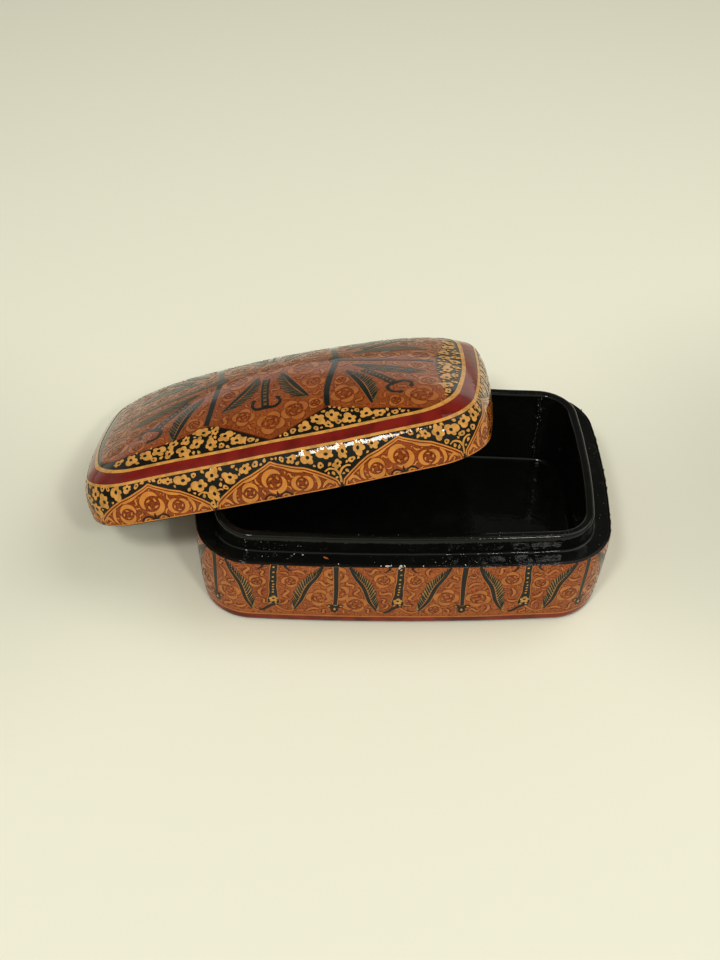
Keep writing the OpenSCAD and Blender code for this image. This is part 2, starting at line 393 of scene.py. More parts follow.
def curve(knots, count):
    """A Catmull-Rom curve through the knots, as count points evenly spaced in its parameter."""
    knots = np.asarray(knots, float)
    ends = np.concatenate([[2 * knots[0] - knots[1]], knots, [2 * knots[-1] - knots[-2]]])
    place = np.linspace(0, len(knots) - 1, count)
    i = np.minimum(place.astype(int), len(knots) - 2)
    weights = cubic_weights((place - i)[:, None])
    return sum(weights[k] * ends[i + k] for k in range(4))


def wobble(points, size, seed):
    """Smooth uneven values from -1 to 1 over space: a sum of waves in random directions, about size
    long."""
    rng = np.random.default_rng(seed)
    waves = 9
    direction = rng.normal(size=(waves, 3))
    pace = (2 * math.pi / size) * rng.uniform(0.6, 1.5, (waves, 1))
    direction *= pace / np.linalg.norm(direction, axis=1)[:, None]
    phase = rng.uniform(0, 2 * math.pi, waves)
    return np.sin(points @ direction.T + phase).sum(-1) / (0.6 * waves)


class Mesh:
    """Points and faces collected for one piece."""

    def __init__(self):
        self.points, self.faces, self.paints, self.count = [], [], [], 0

    def add(self, points, faces, paints=None):
        """Adds points and blocks of faces, arrays of corners that count from these points' first. paints
        has an array for each block."""
        for block, paint in zip(faces, paints or [0] * len(faces)):
            self.faces.append(block + self.count)
            self.paints.append(np.broadcast_to(paint, len(block)))
        self.points.append(points.reshape(-1, 3))
        self.count += len(self.points[-1])

    def lay(self, box):
        """Lays the points of a piece of the lid down with it."""
        self.points = [points @ box.turn.T + box.shift for points in self.points]
        return self

    def rings(self, rings, first=None, last=None, loop=False, paint=0):
        """Quads between rings (k, n, 3) that run anticlockwise, each joined to the next; a first or last
        point closes an end, and loop joins the last ring to the first. paint is one number, or one for
        each row."""
        k, n, _ = rings.shape
        i, j = np.arange(n), (np.arange(n) + 1) % n
        rows = k if loop else k - 1
        row = np.arange(rows)[:, None] * n
        above = (np.arange(rows)[:, None] + 1) % k * n
        quads = np.stack([row + i, row + j, above + j, above + i], -1).reshape(-1, 4)
        row_paint = np.repeat(np.broadcast_to(paint, rows), n)
        points, faces, paints = [rings.reshape(-1, 3)], [quads], [row_paint]
        if first is not None:
            faces.append(np.stack([j, i, np.full(n, k * n)], -1))
            paints.append(np.full(n, row_paint[0]))
            points.append(np.array([first], float))
        if last is not None:
            pole = k * n + (first is not None)
            faces.append(np.stack([(k - 1) * n + i, (k - 1) * n + j, np.full(n, pole)], -1))
            paints.append(np.full(n, row_paint[-1]))
            points.append(np.array([last], float))
        self.add(np.concatenate(points), faces, paints)


# Step along a chart for its slopes, and how deep a motif's underside lies, in millimetres
SLOPE_STEP = 0.02
SINK = 0.1
# Least half width of a painted line
LEAST_HALF = 0.04


def on(chart, places, lift):
    """Points lifted off a chart along its normal, which is the cross product of the slopes along both
    axes."""
    u, v = places[..., 0], places[..., 1]
    h = SLOPE_STEP
    normal = np.cross(chart(u + h, v) - chart(u - h, v), chart(u, v + h) - chart(u, v - h))
    normal /= np.linalg.norm(normal, axis=-1, keepdims=True)
    return chart(u, v) + normal * np.asarray(lift)[..., None]


def true_offsets(chart, centres, local):
    """Chart places for offsets in millimetres in the tangent plane at each centre: the inverse of the
    chart's slopes there turns them into steps of u and v."""
    u, v = centres[..., 0], centres[..., 1]
    h = SLOPE_STEP
    su = (chart(u + h, v) - chart(u - h, v)) / (2 * h)
    sv = (chart(u, v + h) - chart(u, v - h)) / (2 * h)
    t1 = su / np.linalg.norm(su, axis=-1, keepdims=True)
    normal = np.cross(su, sv)
    t2 = np.cross(normal / np.linalg.norm(normal, axis=-1, keepdims=True), t1)
    slopes = np.stack([np.stack([(su * t1).sum(-1), (sv * t1).sum(-1)], -1),
                       np.stack([(su * t2).sum(-1), (sv * t2).sum(-1)], -1)], -2)
    steps = np.einsum("mij,mnj->mni", np.linalg.inv(slopes), local)
    return centres[:, None] + steps


def strips(mesh, chart, right, left, lift, inner=0, closed=False):
    """Strips between their right and left edges (k, m, 2). Each cross-section has both edges and inner
    points between them lifted off the surface, and one point sunk under it, and neighbours are joined
    all round."""
    shares = np.linspace(0, 1, inner + 2)
    section = [on(chart, right + (left - right) * share, lift) for share in shares]
    section.append(on(chart, (right + left) / 2, -SINK))
    points = np.stack(section, 2)
    k, m, c, _ = points.shape
    step = np.arange(m if closed else m - 1)[None, :, None]
    row = np.arange(k)[:, None, None] * m
    here, there = (row + step) * c, (row + (step + 1) % m) * c
    i, j = np.arange(c), (np.arange(c) + 1) % c
    faces = [np.stack([here + i, there + i, there + j, here + j], -1).reshape(-1, 4)]
    if not closed:
        start = np.arange(k)[:, None] * m * c + i
        faces += [start, start[:, ::-1] + (m - 1) * c]
    mesh.add(points, faces)


def as_lines(lines):
    lines = np.asarray(lines, float)
    return lines[None] if lines.ndim == 2 else lines


def square(lines, closed=False):
    """Unit vectors to the left of lines (k, m, 2), square to them."""
    ahead = np.roll(lines, -1, 1) - np.roll(lines, 1, 1) if closed else np.gradient(lines, axis=1)
    ahead = ahead / np.maximum(np.linalg.norm(ahead, axis=-1, keepdims=True), 1e-9)
    return np.stack([-ahead[..., 1], ahead[..., 0]], -1)


def along(lines, t):
    """Points at the parts t of the way along lines (k, m, 2)."""
    place = np.asarray(t, float) * (lines.shape[1] - 1)
    i = np.clip(place.astype(int), 0, lines.shape[1] - 2)
    return lines[:, i] + (place - i)[:, None] * (lines[:, i + 1] - lines[:, i])


def mounds(mesh, chart, centres, outlines, levels, height):
    """Closed motifs: outlines (m, n, 2) in millimetres round centres (m, 2), anticlockwise. Each level is a
    ring of the outline at a share of its size and a lift. A fan joins the last ring to the lifted centre,
    and another closes the first ring with a point sunk under the centre."""
    centres = np.asarray(centres, float).reshape(-1, 2)
    outlines = np.broadcast_to(outlines, (len(centres), *np.shape(outlines)[-2:]))
    rings = [on(chart, true_offsets(chart, centres, outlines * share), lift) for share, lift in levels]
    m, n, _ = rings[0].shape
    top, under = on(chart, centres, height), on(chart, centres, -SINK)
    points = np.concatenate([*rings, top[:, None], under[:, None]], 1)
    i, j = np.arange(n), (np.arange(n) + 1) % n
    start = np.arange(m)[:, None] * points.shape[1]
    last = (len(rings) - 1) * n
    faces = []
    for low in range(0, last, n):
        here, above = start + low, start + low + n
        faces.append(np.stack([here + i, here + j, above + j, above + i], -1).reshape(-1, 4))
    for first, second, pole in ((last + i, last + j, last + n), (j, i, last + n + 1)):
        faces.append(np.stack([start + first, start + second, start + np.full(n, pole)], -1).reshape(-1, 3))
    mesh.add(points, faces)


def spots(mesh, chart, centres, outlines, lift):
    """Flat motifs."""
    mounds(mesh, chart, centres, outlines, ((1, lift),), lift)


def lumps(mesh, chart, centres, outlines, height):
    """Low rounded lumps: three rings of each outline, the smaller the higher."""
    rises = ((1.0, -0.03), (0.8, 0.55), (0.45, 0.9))
    levels = [(share, rise * height[:, None]) for share, rise in rises]
    mounds(mesh, chart, centres, outlines, levels, height)


def turned(x, y, angle):
    """Points (..., 2) with these numbers, turned about the origin."""
    return np.stack([x * np.cos(angle) - y * np.sin(angle), x * np.sin(angle) + y * np.cos(angle)], -1)


def disc(radius, n):
    """A circle's outline."""
    t = np.arange(n) * 2 * math.pi / n
    return np.stack([radius * np.cos(t), radius * np.sin(t)], -1)


def petalled(radius, petals, depth, n, turn=0.0, squeeze=1.0, uneven=0.0):
    """Outlines with round lobes: the radius falls off by the share depth between two petals, as the size
    of a cosine does, and slow waves make it uneven."""
    t = np.arange(n) * 2 * math.pi / n
    radius, turn, squeeze = (np.asarray(x, float).reshape(-1, 1) for x in (radius, turn, squeeze))
    lobe = np.abs(np.cos(petals / 2 * (t + uneven * 0.25 * np.sin(t + 5 * turn)))) ** 0.75
    r = radius * (1 - depth * (1 - lobe))
    r = r * (1 + uneven * (0.14 * np.sin(t + 11 * turn) + 0.12 * np.sin(2 * t + 17 * turn)))
    x, y = r * np.cos(t), r * np.sin(t) * squeeze
    return turned(x, y, turn)


def leaf_shape(length, width, turn, n=10):
    """Outlines of pointed drops: half the width at each place follows a sine, fuller near the foot."""
    t = np.arange(n // 2 + 1) / (n // 2)
    rise = np.sin(math.pi * t**0.7)
    x = np.concatenate([t, t[-2:0:-1]]) - 0.5
    y = np.concatenate([-rise, rise[-2:0:-1]])
    length, width, turn = (np.asarray(v, float).reshape(-1, 1) for v in (length, width, turn))
    x, y = x * length, y * width / 2
    return turned(x, y, turn)


def pack(points, room, sizes, gap):
    """Packs round motifs onto candidate points (n, 3) that each have some room: from the largest size
    down, each motif takes the candidate whose room is least above its size, so that neighbours lie close
    together. Gives the candidates taken and their radii."""
    room = room.copy()
    taken, radii = [], []
    for size in sizes:
        while True:
            fit = np.where(room >= size, room, np.inf)
            best = int(np.argmin(fit))
            if not np.isfinite(fit[best]):
                break
            taken.append(best)
            radii.append(size)
            away = np.linalg.norm(points - points[best], axis=1) - size - gap
            room = np.minimum(room, away)
    return np.array(taken, int), np.array(radii)


def nearest(points, others, radii=0.0):
    """Distance from each point to the nearest of the others, less their radii."""
    best = np.full(len(points), np.inf)
    radii = np.broadcast_to(radii, len(others))
    for start in range(0, len(others), 64):
        block = slice(start, start + 64)
        away = np.linalg.norm(points[:, None] - others[None, block], axis=-1) - radii[block]
        best = np.minimum(best, away.min(1))
    return best


def grid_of(u, v):
    """All pairs of the numbers in u and v, as points (n, 2)."""
    return np.stack(np.meshgrid(u, v, indexing="ij"), -1).reshape(-1, 2)


def new_piece(name, mesh, body, materials, replaces=(), sharp=40):
    """Makes an object from a Mesh in millimetres, hangs it on its body and gives it its materials."""
    points = np.concatenate(mesh.points) * MM
    corners = np.concatenate([block.ravel() for block in mesh.faces])
    starts, at = [], 0
    for block in mesh.faces:
        starts.append(at + np.arange(len(block)) * block.shape[1])
        at += block.size
    data = bpy.data.meshes.new(name)
    data.vertices.add(len(points))
    data.vertices.foreach_set("co", points.ravel())
    data.loops.add(len(corners))
    data.loops.foreach_set("vertex_index", corners.astype(np.int32))
    data.polygons.add(sum(len(block) for block in mesh.faces))
    data.polygons.foreach_set("loop_start", np.concatenate(starts).astype(np.int32))
    data.polygons.foreach_set("material_index", np.concatenate(mesh.paints).astype(np.int32))
    data.update(calc_edges=True)
    data.shade_smooth()
    data.set_sharp_from_angle(angle=math.radians(sharp))
    for material in materials:
        data.materials.append(material)
    piece = bpy.data.objects.new(name, data)
    bpy.context.scene.collection.objects.link(piece)
    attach(piece, body)
    if replaces:
        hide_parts(*replaces)
    return piece


class Nodes:
    """Builds the nodes of a material or of the room's light round its shader."""

    def __init__(self, owner, space="Object"):
        owner.use_nodes = True
        self.owner, self.tree = owner, owner.node_tree
        self.shader = next(n for n in self.tree.nodes if n.type in ("BSDF_PRINCIPLED", "BACKGROUND"))
        self.place = self.add("ShaderNodeTexCoord").outputs[space]

    def add(self, kind, **settings):
        node = self.tree.nodes.new(kind)
        for key, value in settings.items():
            setattr(node, key, value)
        return node

    def put(self, socket, value):
        if isinstance(value, bpy.types.NodeSocket):
            self.tree.links.new(value, socket)
        elif hasattr(socket.default_value, "__len__") and len(value) < len(socket.default_value):
            socket.default_value = (*value, 1)
        else:
            socket.default_value = value

    def noise(self, size, detail=3.0, rough=0.5):
        """Noise from 0 to 1 whose features are about size millimetres long."""
        node = self.add("ShaderNodeTexNoise")
        self.put(node.inputs["Vector"], self.place)
        self.put(node.inputs["Scale"], 1 / (size * MM))
        self.put(node.inputs["Detail"], detail)
        self.put(node.inputs["Roughness"], rough)
        return node.outputs[0]

    def math(self, operation, *values):
        node = self.add("ShaderNodeMath", operation=operation)
        for socket, value in zip(node.inputs, values):
            self.put(socket, value)
        return node.outputs[0]

    def step(self, value, low, high):
        """Runs from 0 to 1 as the value goes from low to high."""
        node = self.add("ShaderNodeMapRange", interpolation_type="SMOOTHSTEP")
        for key, number in (("Value", value), ("From Min", low), ("From Max", high)):
            self.put(node.inputs[key], number)
        return node.outputs[0]

    def towards(self, direction, low, high):
        """Runs from 0 to 1 as the place's dot product with a direction goes from low to high."""
        node = self.add("ShaderNodeVectorMath", operation="DOT_PRODUCT")
        self.put(node.inputs[0], self.place)
        self.put(node.inputs[1], direction)
        return self.step(node.outputs["Value"], low, high)

    def away(self, point):
        """Distance of the place from a point."""
        node = self.add("ShaderNodeVectorMath", operation="DISTANCE")
        self.put(node.inputs[0], self.place)
        self.put(node.inputs[1], point)
        return node.outputs["Value"]

    def mix(self, part, first, second):
        node = self.add("ShaderNodeMix", data_type="RGBA")
        self.put(node.inputs[0], part)
        self.put(node.inputs[6], first)
        self.put(node.inputs[7], second)
        return node.outputs[2]

    def bump(self, height, depth, strength=1.0):
        """Bumps about depth millimetres deep."""
        node = self.add("ShaderNodeBump")
        self.put(node.inputs["Height"], height)
        self.put(node.inputs["Distance"], depth * MM)
        self.put(node.inputs["Strength"], strength)
        self.put(self.shader.inputs["Normal"], node.outputs[0])
        self.put(self.shader.inputs["Coat Normal"], node.outputs[0])

    def finish(self, colour, roughness, coat=1.0, coat_roughness=0.04, specular=0.0, coat_ior=1.28):
        inputs = self.shader.inputs
        self.put(inputs["Base Color"], colour)
        self.put(inputs["Roughness"], roughness)
        self.put(inputs["Specular IOR Level"], specular)
        self.put(inputs["Coat Weight"], coat)
        self.put(inputs["Coat Roughness"], coat_roughness)
        self.put(inputs["Coat IOR"], coat_ior)
        return self.owner


def cached(maker):
    """Keeps one material for each name, so that pieces share it."""
    def get(name, *values, **settings):
        return bpy.data.materials.get(name) or maker(name, *values, **settings)
    return get


@cached
def painted(name, colour, shade, size=6.0):
    """Paint under clear varnish: the colour turns to its shade in patches, and the surface is a little
    uneven."""
    nodes = Nodes(bpy.data.materials.new(name))
    patches = nodes.step(nodes.noise(size, 4), 0.35, 0.7)
    nodes.bump(nodes.noise(2.2, 2), 0.05)
    return nodes.finish(nodes.mix(patches, colour, shade), 0.4)


@cached
def scrolled(name, colour, shade, line, size=2.4):
    """Painted ground with fine curling lines, which are the level lines of a noise, under clear
    varnish."""
    nodes = Nodes(bpy.data.materials.new(name))
    ground = nodes.mix(nodes.step(nodes.noise(9, 3), 0.35, 0.68), colour, shade)
    level = nodes.math("PINGPONG", nodes.math("MULTIPLY", nodes.noise(size, 0), 5.0), 0.5)
    lines = nodes.step(level, 0.19, 0.07)
    nodes.bump(nodes.noise(2.2, 2), 0.05)
    return nodes.finish(nodes.mix(nodes.math("MULTIPLY", lines, 0.8), ground, line), 0.4)


@cached
def lacquered(name, colour, worn):
    """Black gloss lacquer with brush marks, small lumps and a worn dusty bloom in patches."""
    nodes = Nodes(bpy.data.materials.new(name))
    bloom = nodes.math("MULTIPLY", nodes.step(nodes.noise(7, 6, 0.65), 0.42, 0.8), 0.015)
    height = nodes.math("ADD", nodes.noise(3.5, 3), nodes.math("MULTIPLY", nodes.noise(0.8, 2), 0.22))
    nodes.bump(height, 0.1)
    return nodes.finish(nodes.mix(bloom, colour, worn), 0.42, coat_roughness=0.05, coat_ior=1.32)


@cached
def plain(name, colour, shade):
    """Matt pressed pulp with a fibrous grain."""
    nodes = Nodes(bpy.data.materials.new(name))
    nodes.bump(nodes.noise(1.2, 5), 0.12)
    return nodes.finish(nodes.mix(nodes.noise(3, 5), colour, shade), 0.85, coat=0.0)


def dark(colour, part):
    """The colour made darker."""
    return tuple(part * c for c in colour)


def grounds():
    """Materials of the painted grounds, by name."""
    p = bpy.context.scene.box_paints
    return {
        "rust": scrolled("rust_ground", p.rust, p.rust_dark, p.red_line),
        "field": scrolled("field_ground", p.field, dark(p.field, 0.7), p.red_line),
        "medallion": scrolled("medallion_ground", p.medallion, dark(p.medallion, 0.7), p.red_line, 1.8),
        "crimson": painted("crimson_band", p.crimson, dark(p.crimson, 0.6)),
        "foot": painted("foot_line", p.foot_line, dark(p.foot_line, 0.5)),
        "black": painted("painted_black", p.black, dark(p.black, 1.6)),
        "lacquer": lacquered("gloss_black", p.lacquer, (0.16, 0.16, 0.14)),
        "gesso": plain("gesso", p.gesso, dark(p.gesso, 0.7)),
        "pulp": plain("pressed_grain", p.pulp, dark(p.pulp, 0.6)),
    }


def swept(mesh, box, line, uneven, size, seed, paint=0):
    """A closed profile swept round the plan. The line holds distances in, heights and how much of the
    uneven shift each point takes, which goes inwards and down."""
    w = box.around(PLAN_POINTS)
    line = np.asarray(line, float)
    rings = np.array([box.at(w, d, z) for d, z in line[:, :2]])
    rough = 0.5 - 0.5 * wobble(rings, size, seed)
    push = uneven * line[:, 2, None] * np.clip(rough, 0, 1)
    outwards = rings * [1, 1, 0]
    outwards /= np.linalg.norm(outwards, axis=-1, keepdims=True)
    rings = rings - push[..., None] * (0.35 * outwards + [0, 0, 0.9])
    mesh.rings(rings, loop=True, paint=paint)


def rounded(d, z, out, r, steps):
    """Points of a rounded top corner at distance d in and height z, from the side that faces out (1)
    over to the top; for a side that faces in (-1), from the top over to the side."""
    t = np.linspace(0, math.pi / 2, steps)
    points = [[d + out * (r - r * math.cos(a)), z - (r - r * math.sin(a)), 1] for a in t]
    return points if out == 1 else points[::-1]


class BOX_OT_base_shell(bpy.types.Operator):
    """Builds the moulded tray with its bare black ledge"""

    bl_idname = "box.base_shell"
    bl_label = "Base tray"

    def execute(self, context):
        box, mesh, ground = Box(), Mesh(), grounds()
        under = box.coat + box.glue
        heights = np.concatenate([box.foot_r * (1 - np.cos(np.linspace(0, math.pi / 2, 6)[:-1])),
                                  np.linspace(box.foot_r, box.base_h - 0.5, 10)])
        outside = [[box.wall_in(z) + under, z, 0] for z in heights]
        ledge = rounded(under, box.base_h, 1, 0.3, 4)
        ledge += [[d, box.base_h, 1] for d in np.linspace(under + 0.8, box.ledge_w - 1.2, 6)]
        foot = box.ledge_w - box.glue
        fillet = 0.7
        ledge += [[foot - fillet * (1 - math.sin(a)), box.base_h + fillet * (1 - math.cos(a)), 0.8]
                  for a in np.linspace(0, math.pi / 2, 6)]
        ledge += [[foot, box.floor_t + 1, 0], [foot, box.floor_t, 0]]
        inner = (box.ledge_w + box.collar_in) / 2 + 3
        w = box.around(PLAN_POINTS)
        top = [box.at(w, d, z) for d, z, _ in outside + ledge] + [box.at(w, inner, box.floor_t)]
        low = box.at(w, inner, 0)
        rings = np.array([low] + top)
        share = np.array([0] + [row[2] for row in outside + ledge] + [0])[:, None]
        sag, dent = np.clip(0.5 - 0.5 * wobble(rings, 13, 3), 0, 1), np.clip(wobble(rings, 4, 8), 0, 1)
        drop = 0.30 * sag + 0.1 * dent
        rings = rings - (share * drop)[..., None] * [0, 0, 1]
        mesh.rings(rings, first=[0, 0, 0], last=[0, 0, box.floor_t])
        new_piece("base_tray", mesh, "base", [ground["lacquer"]], ["base_shell"])
        return {"FINISHED"}


class BOX_OT_base_skin(bpy.types.Operator):
    """Builds the painted coat on the outside of the base, with its black edge and its foot line"""

    bl_idname = "box.base_skin"
    bl_label = "Base coat"

    def execute(self, context):
        box, mesh, ground = Box(), Mesh(), grounds()
        low = box.coat_lift
        foot = low + (box.foot_r - low) * (1 - np.cos(np.linspace(0, math.pi / 2, 5)))
        heights = np.concatenate([foot, [1.9, 2.9], np.linspace(4, box.base_h - 1, 24),
                                  [box.base_h - 0.35]])
        line = [[box.wall_in(z) + box.relief, z, 0] for z in heights]
        line += rounded(box.relief, box.base_h, 1, 0.25, 4)
        line += [[box.coat - 0.03, box.base_h, 1]]
        line += [[box.wall_in(z) + box.coat, z, 0] for z in heights[::-1]]
        n_foot, n_wall = len(foot), len(heights)
        paint = np.full(len(line), 0)
        paint[:n_foot + 1] = 1
        paint[n_wall - 1:] = 2
        swept(mesh, box, line, uneven=0.16, size=13, seed=3, paint=paint)
        new_piece("base_coat", mesh, "base",
                  [ground["rust"], ground["foot"], ground["lacquer"]], ["base_skin"])
        return {"FINISHED"}


class BOX_OT_collar(bpy.types.Operator):
    """Builds the black collar that stands in the base"""

    bl_idname = "box.collar"
    bl_label = "Collar"

    def execute(self, context):
        box, mesh, ground = Box(), Mesh(), grounds()
        lo, r = box.floor_t + box.glue, box.collar_round
        line = [[box.ledge_w, z, 0] for z in (lo, box.base_h)]
        line += [[box.ledge_w, z, 0.5] for z in (box.base_h + 1.5, box.base_h + 3.5)]
        line += rounded(box.ledge_w, box.collar_top, 1, r, 6)
        line += [[(box.ledge_w + box.collar_in) / 2, box.collar_top, 1]]
        line += rounded(box.collar_in, box.collar_top, -1, r, 6)
        line += [[box.collar_in, z, 0] for z in np.linspace(box.collar_top - 3, lo, 8)]
        swept(mesh, box, line, uneven=0.32, size=17, seed=5)
        new_piece("collar_strip", mesh, "base", [ground["lacquer"]], ["collar"])
        return {"FINISHED"}


class BOX_OT_floor_lining(bpy.types.Operator):
    """Builds the black lining on the floor"""

    bl_idname = "box.floor_lining"
    bl_label = "Floor lining"

    def execute(self, context):
        box, mesh, ground = Box(), Mesh(), grounds()
        low = box.floor_t + box.glue
        high = low + box.lining
        w = box.around(PLAN_POINTS)
        side, fillet = box.collar_in + box.glue, 1.3
        edge = box.at(w, side, 0)
        rings = [edge + [0, 0, low]]
        rings += [box.at(w, side + fillet * (1 - math.sin(a)), high + fillet * (1 - math.cos(a)))
                  for a in np.linspace(math.pi / 2, 0, 7)]
        rings += [edge * share + [0, 0, high] for share in np.linspace(0.93, 0.05, 14)]
        mesh.rings(np.array(rings), first=[0, 0, low], last=[0, 0, high])
        new_piece("floor_sheet", mesh, "base", [ground["lacquer"]], ["floor_lining"])
        return {"FINISHED"}


def lid_rings(box, w, d, rows):
    """Rings of the surface that lies d under the lid's outside, at heights of the wall and angles of the
    dome."""
    wall = [box.at(w, box.lid_in(z) + d, z) for z in rows[0]]
    inset, top = box.shoulder_in + d, box.lid_h - d
    dome = [box.dome(w, np.full(len(w), t), inset, box.shoulder_h, top) for t in rows[1]]
    return wall + dome


def hollow_rings(box, w, d, rows):
    """Rings of the surface that lies d outside the finished hollow."""
    inset, top = box.lid_wall - d, box.hollow_h + d
    wall = [box.at(w, inset, z) for z in rows[0]]
    dome = [box.dome(w, np.full(len(w), t), inset, box.spring_h, top) for t in rows[1]]
    return wall + dome


def cap(mesh, box, outer, outer_top, inner, inner_top):
    """A shell between two sets of rings from the rim up, each closed by its top point, joined at the
    rim."""
    rings = np.array(inner[::-1] + outer) @ box.turn.T + box.shift
    first, last = (box.turn @ [0, 0, z] + box.shift for z in (inner_top, outer_top))
    mesh.rings(rings, first=first, last=last)


class BOX_OT_lid_shells(bpy.types.Operator):
    """Builds the lid's pulp dome and its black lining"""

    bl_idname = "box.lid_shells"
    bl_label = "Lid shell and lining"

    def execute(self, context):
        box, ground = Box(), grounds()
        w = box.around(360)
        wall = np.linspace(0, box.shoulder_h, 7)
        inside = np.linspace(0, box.spring_h, 5)
        dome = np.linspace(box.dome_start, math.pi / 2, 26)[1:-1]
        mesh = Mesh()
        d, e = box.coat + box.glue, box.lining + box.glue
        cap(mesh, box, lid_rings(box, w, d, (wall, dome)), box.lid_h - d,
            hollow_rings(box, w, e, (inside, dome)), box.hollow_h + e)
        new_piece("lid_dome", mesh, "lid", [ground["pulp"]], ["lid_shell"])
        mesh = Mesh()
        cap(mesh, box, hollow_rings(box, w, box.lining, (inside, dome)), box.hollow_h + box.lining,
            hollow_rings(box, w, 0, (inside, dome)), box.hollow_h)
        new_piece("lid_inside", mesh, "lid", [ground["lacquer"]], ["lid_lining"])
        return {"FINISHED"}


class BOX_OT_lid_skin(bpy.types.Operator):
    """Builds the painted coat on the outside of the lid"""

    bl_idname = "box.lid_skin"
    bl_label = "Lid coat"

    def execute(self, context):
        box, mesh, ground = Box(), Mesh(), grounds()
        w = box.around(PLAN_POINTS)
        wall = np.append([0], np.linspace(0.4, box.shoulder_h, 18))
        top = box.lid_h - box.relief
        dome = np.linspace(box.dome_start, math.pi / 2, 62)[1:-1]
        outer = lid_rings(box, w, box.relief, (wall, dome))
        inside = np.linspace(0, box.shoulder_h, 5)
        hidden = np.linspace(box.dome_start, math.pi / 2, 20)[1:-1]
        inner = lid_rings(box, w, box.coat, (inside, hidden))
        cap(mesh, box, outer, top, inner, box.lid_h - box.coat)
        new_piece("lid_coat", mesh, "lid", [ground["black"]], ["lid_skin"])
        return {"FINISHED"}


# How far each paint stands off the chart, in millimetres
LIFTS = {"field": 0.015, "medallion": 0.02, "crimson": 0.02, "red": 0.045, "tan": 0.06, "olive": 0.06,
         "leaf": 0.065, "petal": 0.065, "strap": 0.065, "stem": 0.08, "black": 0.08, "gold": 0.1,
         "dot": 0.112}
# Repeats of the pattern round the plan
REPEATS = 10


class Painting:
    """Ornament on one chart, collected by paint. A paint that lies over others is lifted more."""

    def __init__(self, chart):
        self.chart, self.meshes, self.places, self.rooms = chart, {}, [], []

    def strip(self, paint, right, left, inner=0, closed=False):
        strips(self.mesh(paint), self.chart, right, left, LIFTS[paint], inner, closed)

    def line(self, paint, lines, halfs, closed=False, room=None):
        """Strips along middle lines (k, m, 2) with half widths (k, m), measured square to the line. With a
        room, the line is kept too."""
        lines = as_lines(lines)
        if room is not None:
            self.keep(lines, room)
        halfs = np.maximum(np.broadcast_to(halfs, lines.shape[:2]), LEAST_HALF)[..., None]
        side = halfs * square(lines, closed)
        self.strip(paint, lines - side, lines + side, closed=closed)

    def ring(self, paint, w, low, high, inner=1):
        """A painted line right round the plan."""
        edges = [np.stack([w, z + 0 * w], -1)[None] for z in (low, high)]
        self.strip(paint, *edges, inner, closed=True)

    def mesh(self, paint):
        return self.meshes.setdefault(paint, Mesh())

    def motif(self, paint, centres, outlines):
        if len(centres):
            spots(self.mesh(paint), self.chart, centres, outlines, LIFTS[paint])

    def strap(self, lines, halfs, paint="strap", rim=0.17):
        """A pale band with a dark red outline."""
        self.line("red", lines, np.asarray(halfs) + rim)
        self.line(paint, lines, halfs)

    def keep(self, lines, room):
        """Notes that a motif takes up the room on each side of its lines."""
        points = as_lines(lines).reshape(-1, 2)
        self.places.append(points)
        self.rooms.append(np.full(len(points), float(room)))

    def room_near(self, grid, start, offset, reach):
        """Room of grid points (n, 2) up to what was kept within reach of start + offset round the
        plan."""
        near = [places[np.abs(places[:, 0] - start - offset) < reach] for places in self.places]
        rooms = [np.full(len(places), room[0]) for places, room in zip(near, self.rooms)]
        return nearest(grid, np.concatenate(near), np.concatenate(rooms))

    def pieces(self, prefix, body, box=None):
        """Makes one piece of each paint."""
        paints = ornament_paints()
        for paint, mesh in self.meshes.items():
            if box:
                mesh.lay(box)
            new_piece(f"{prefix}_{paint}", mesh, body, [paints[paint]], sharp=60)


def ornament_paints():
    """Materials of the paints of the ornament, by name."""
    p = bpy.context.scene.box_paints
    ground = grounds()
    return {
        "field": ground["field"], "leaf": painted("field_leaf", p.leaf, dark(p.leaf, 0.8), 3),
        "medallion": ground["medallion"], "crimson": ground["crimson"],
        "black": ground["black"], "dot": ground["black"],
        "petal": painted("petal", p.petal, dark(p.petal, 0.8), 3),
        "red": painted("red_line", p.red_line, dark(p.red_line, 0.7)),
        "strap": painted("strap", p.strap, dark(p.strap, 0.75), 3),
        "gold": painted("gold_paint", p.gold, dark(p.gold, 0.66), 2),
        "stem": painted("stem_green", p.stem, dark(p.stem, 0.6)),
        "tan": painted("tan_leaf", p.tan, dark(p.tan, 0.7), 3),
        "olive": painted("olive_leaf", p.olive, dark(p.olive, 0.7), 3),
    }


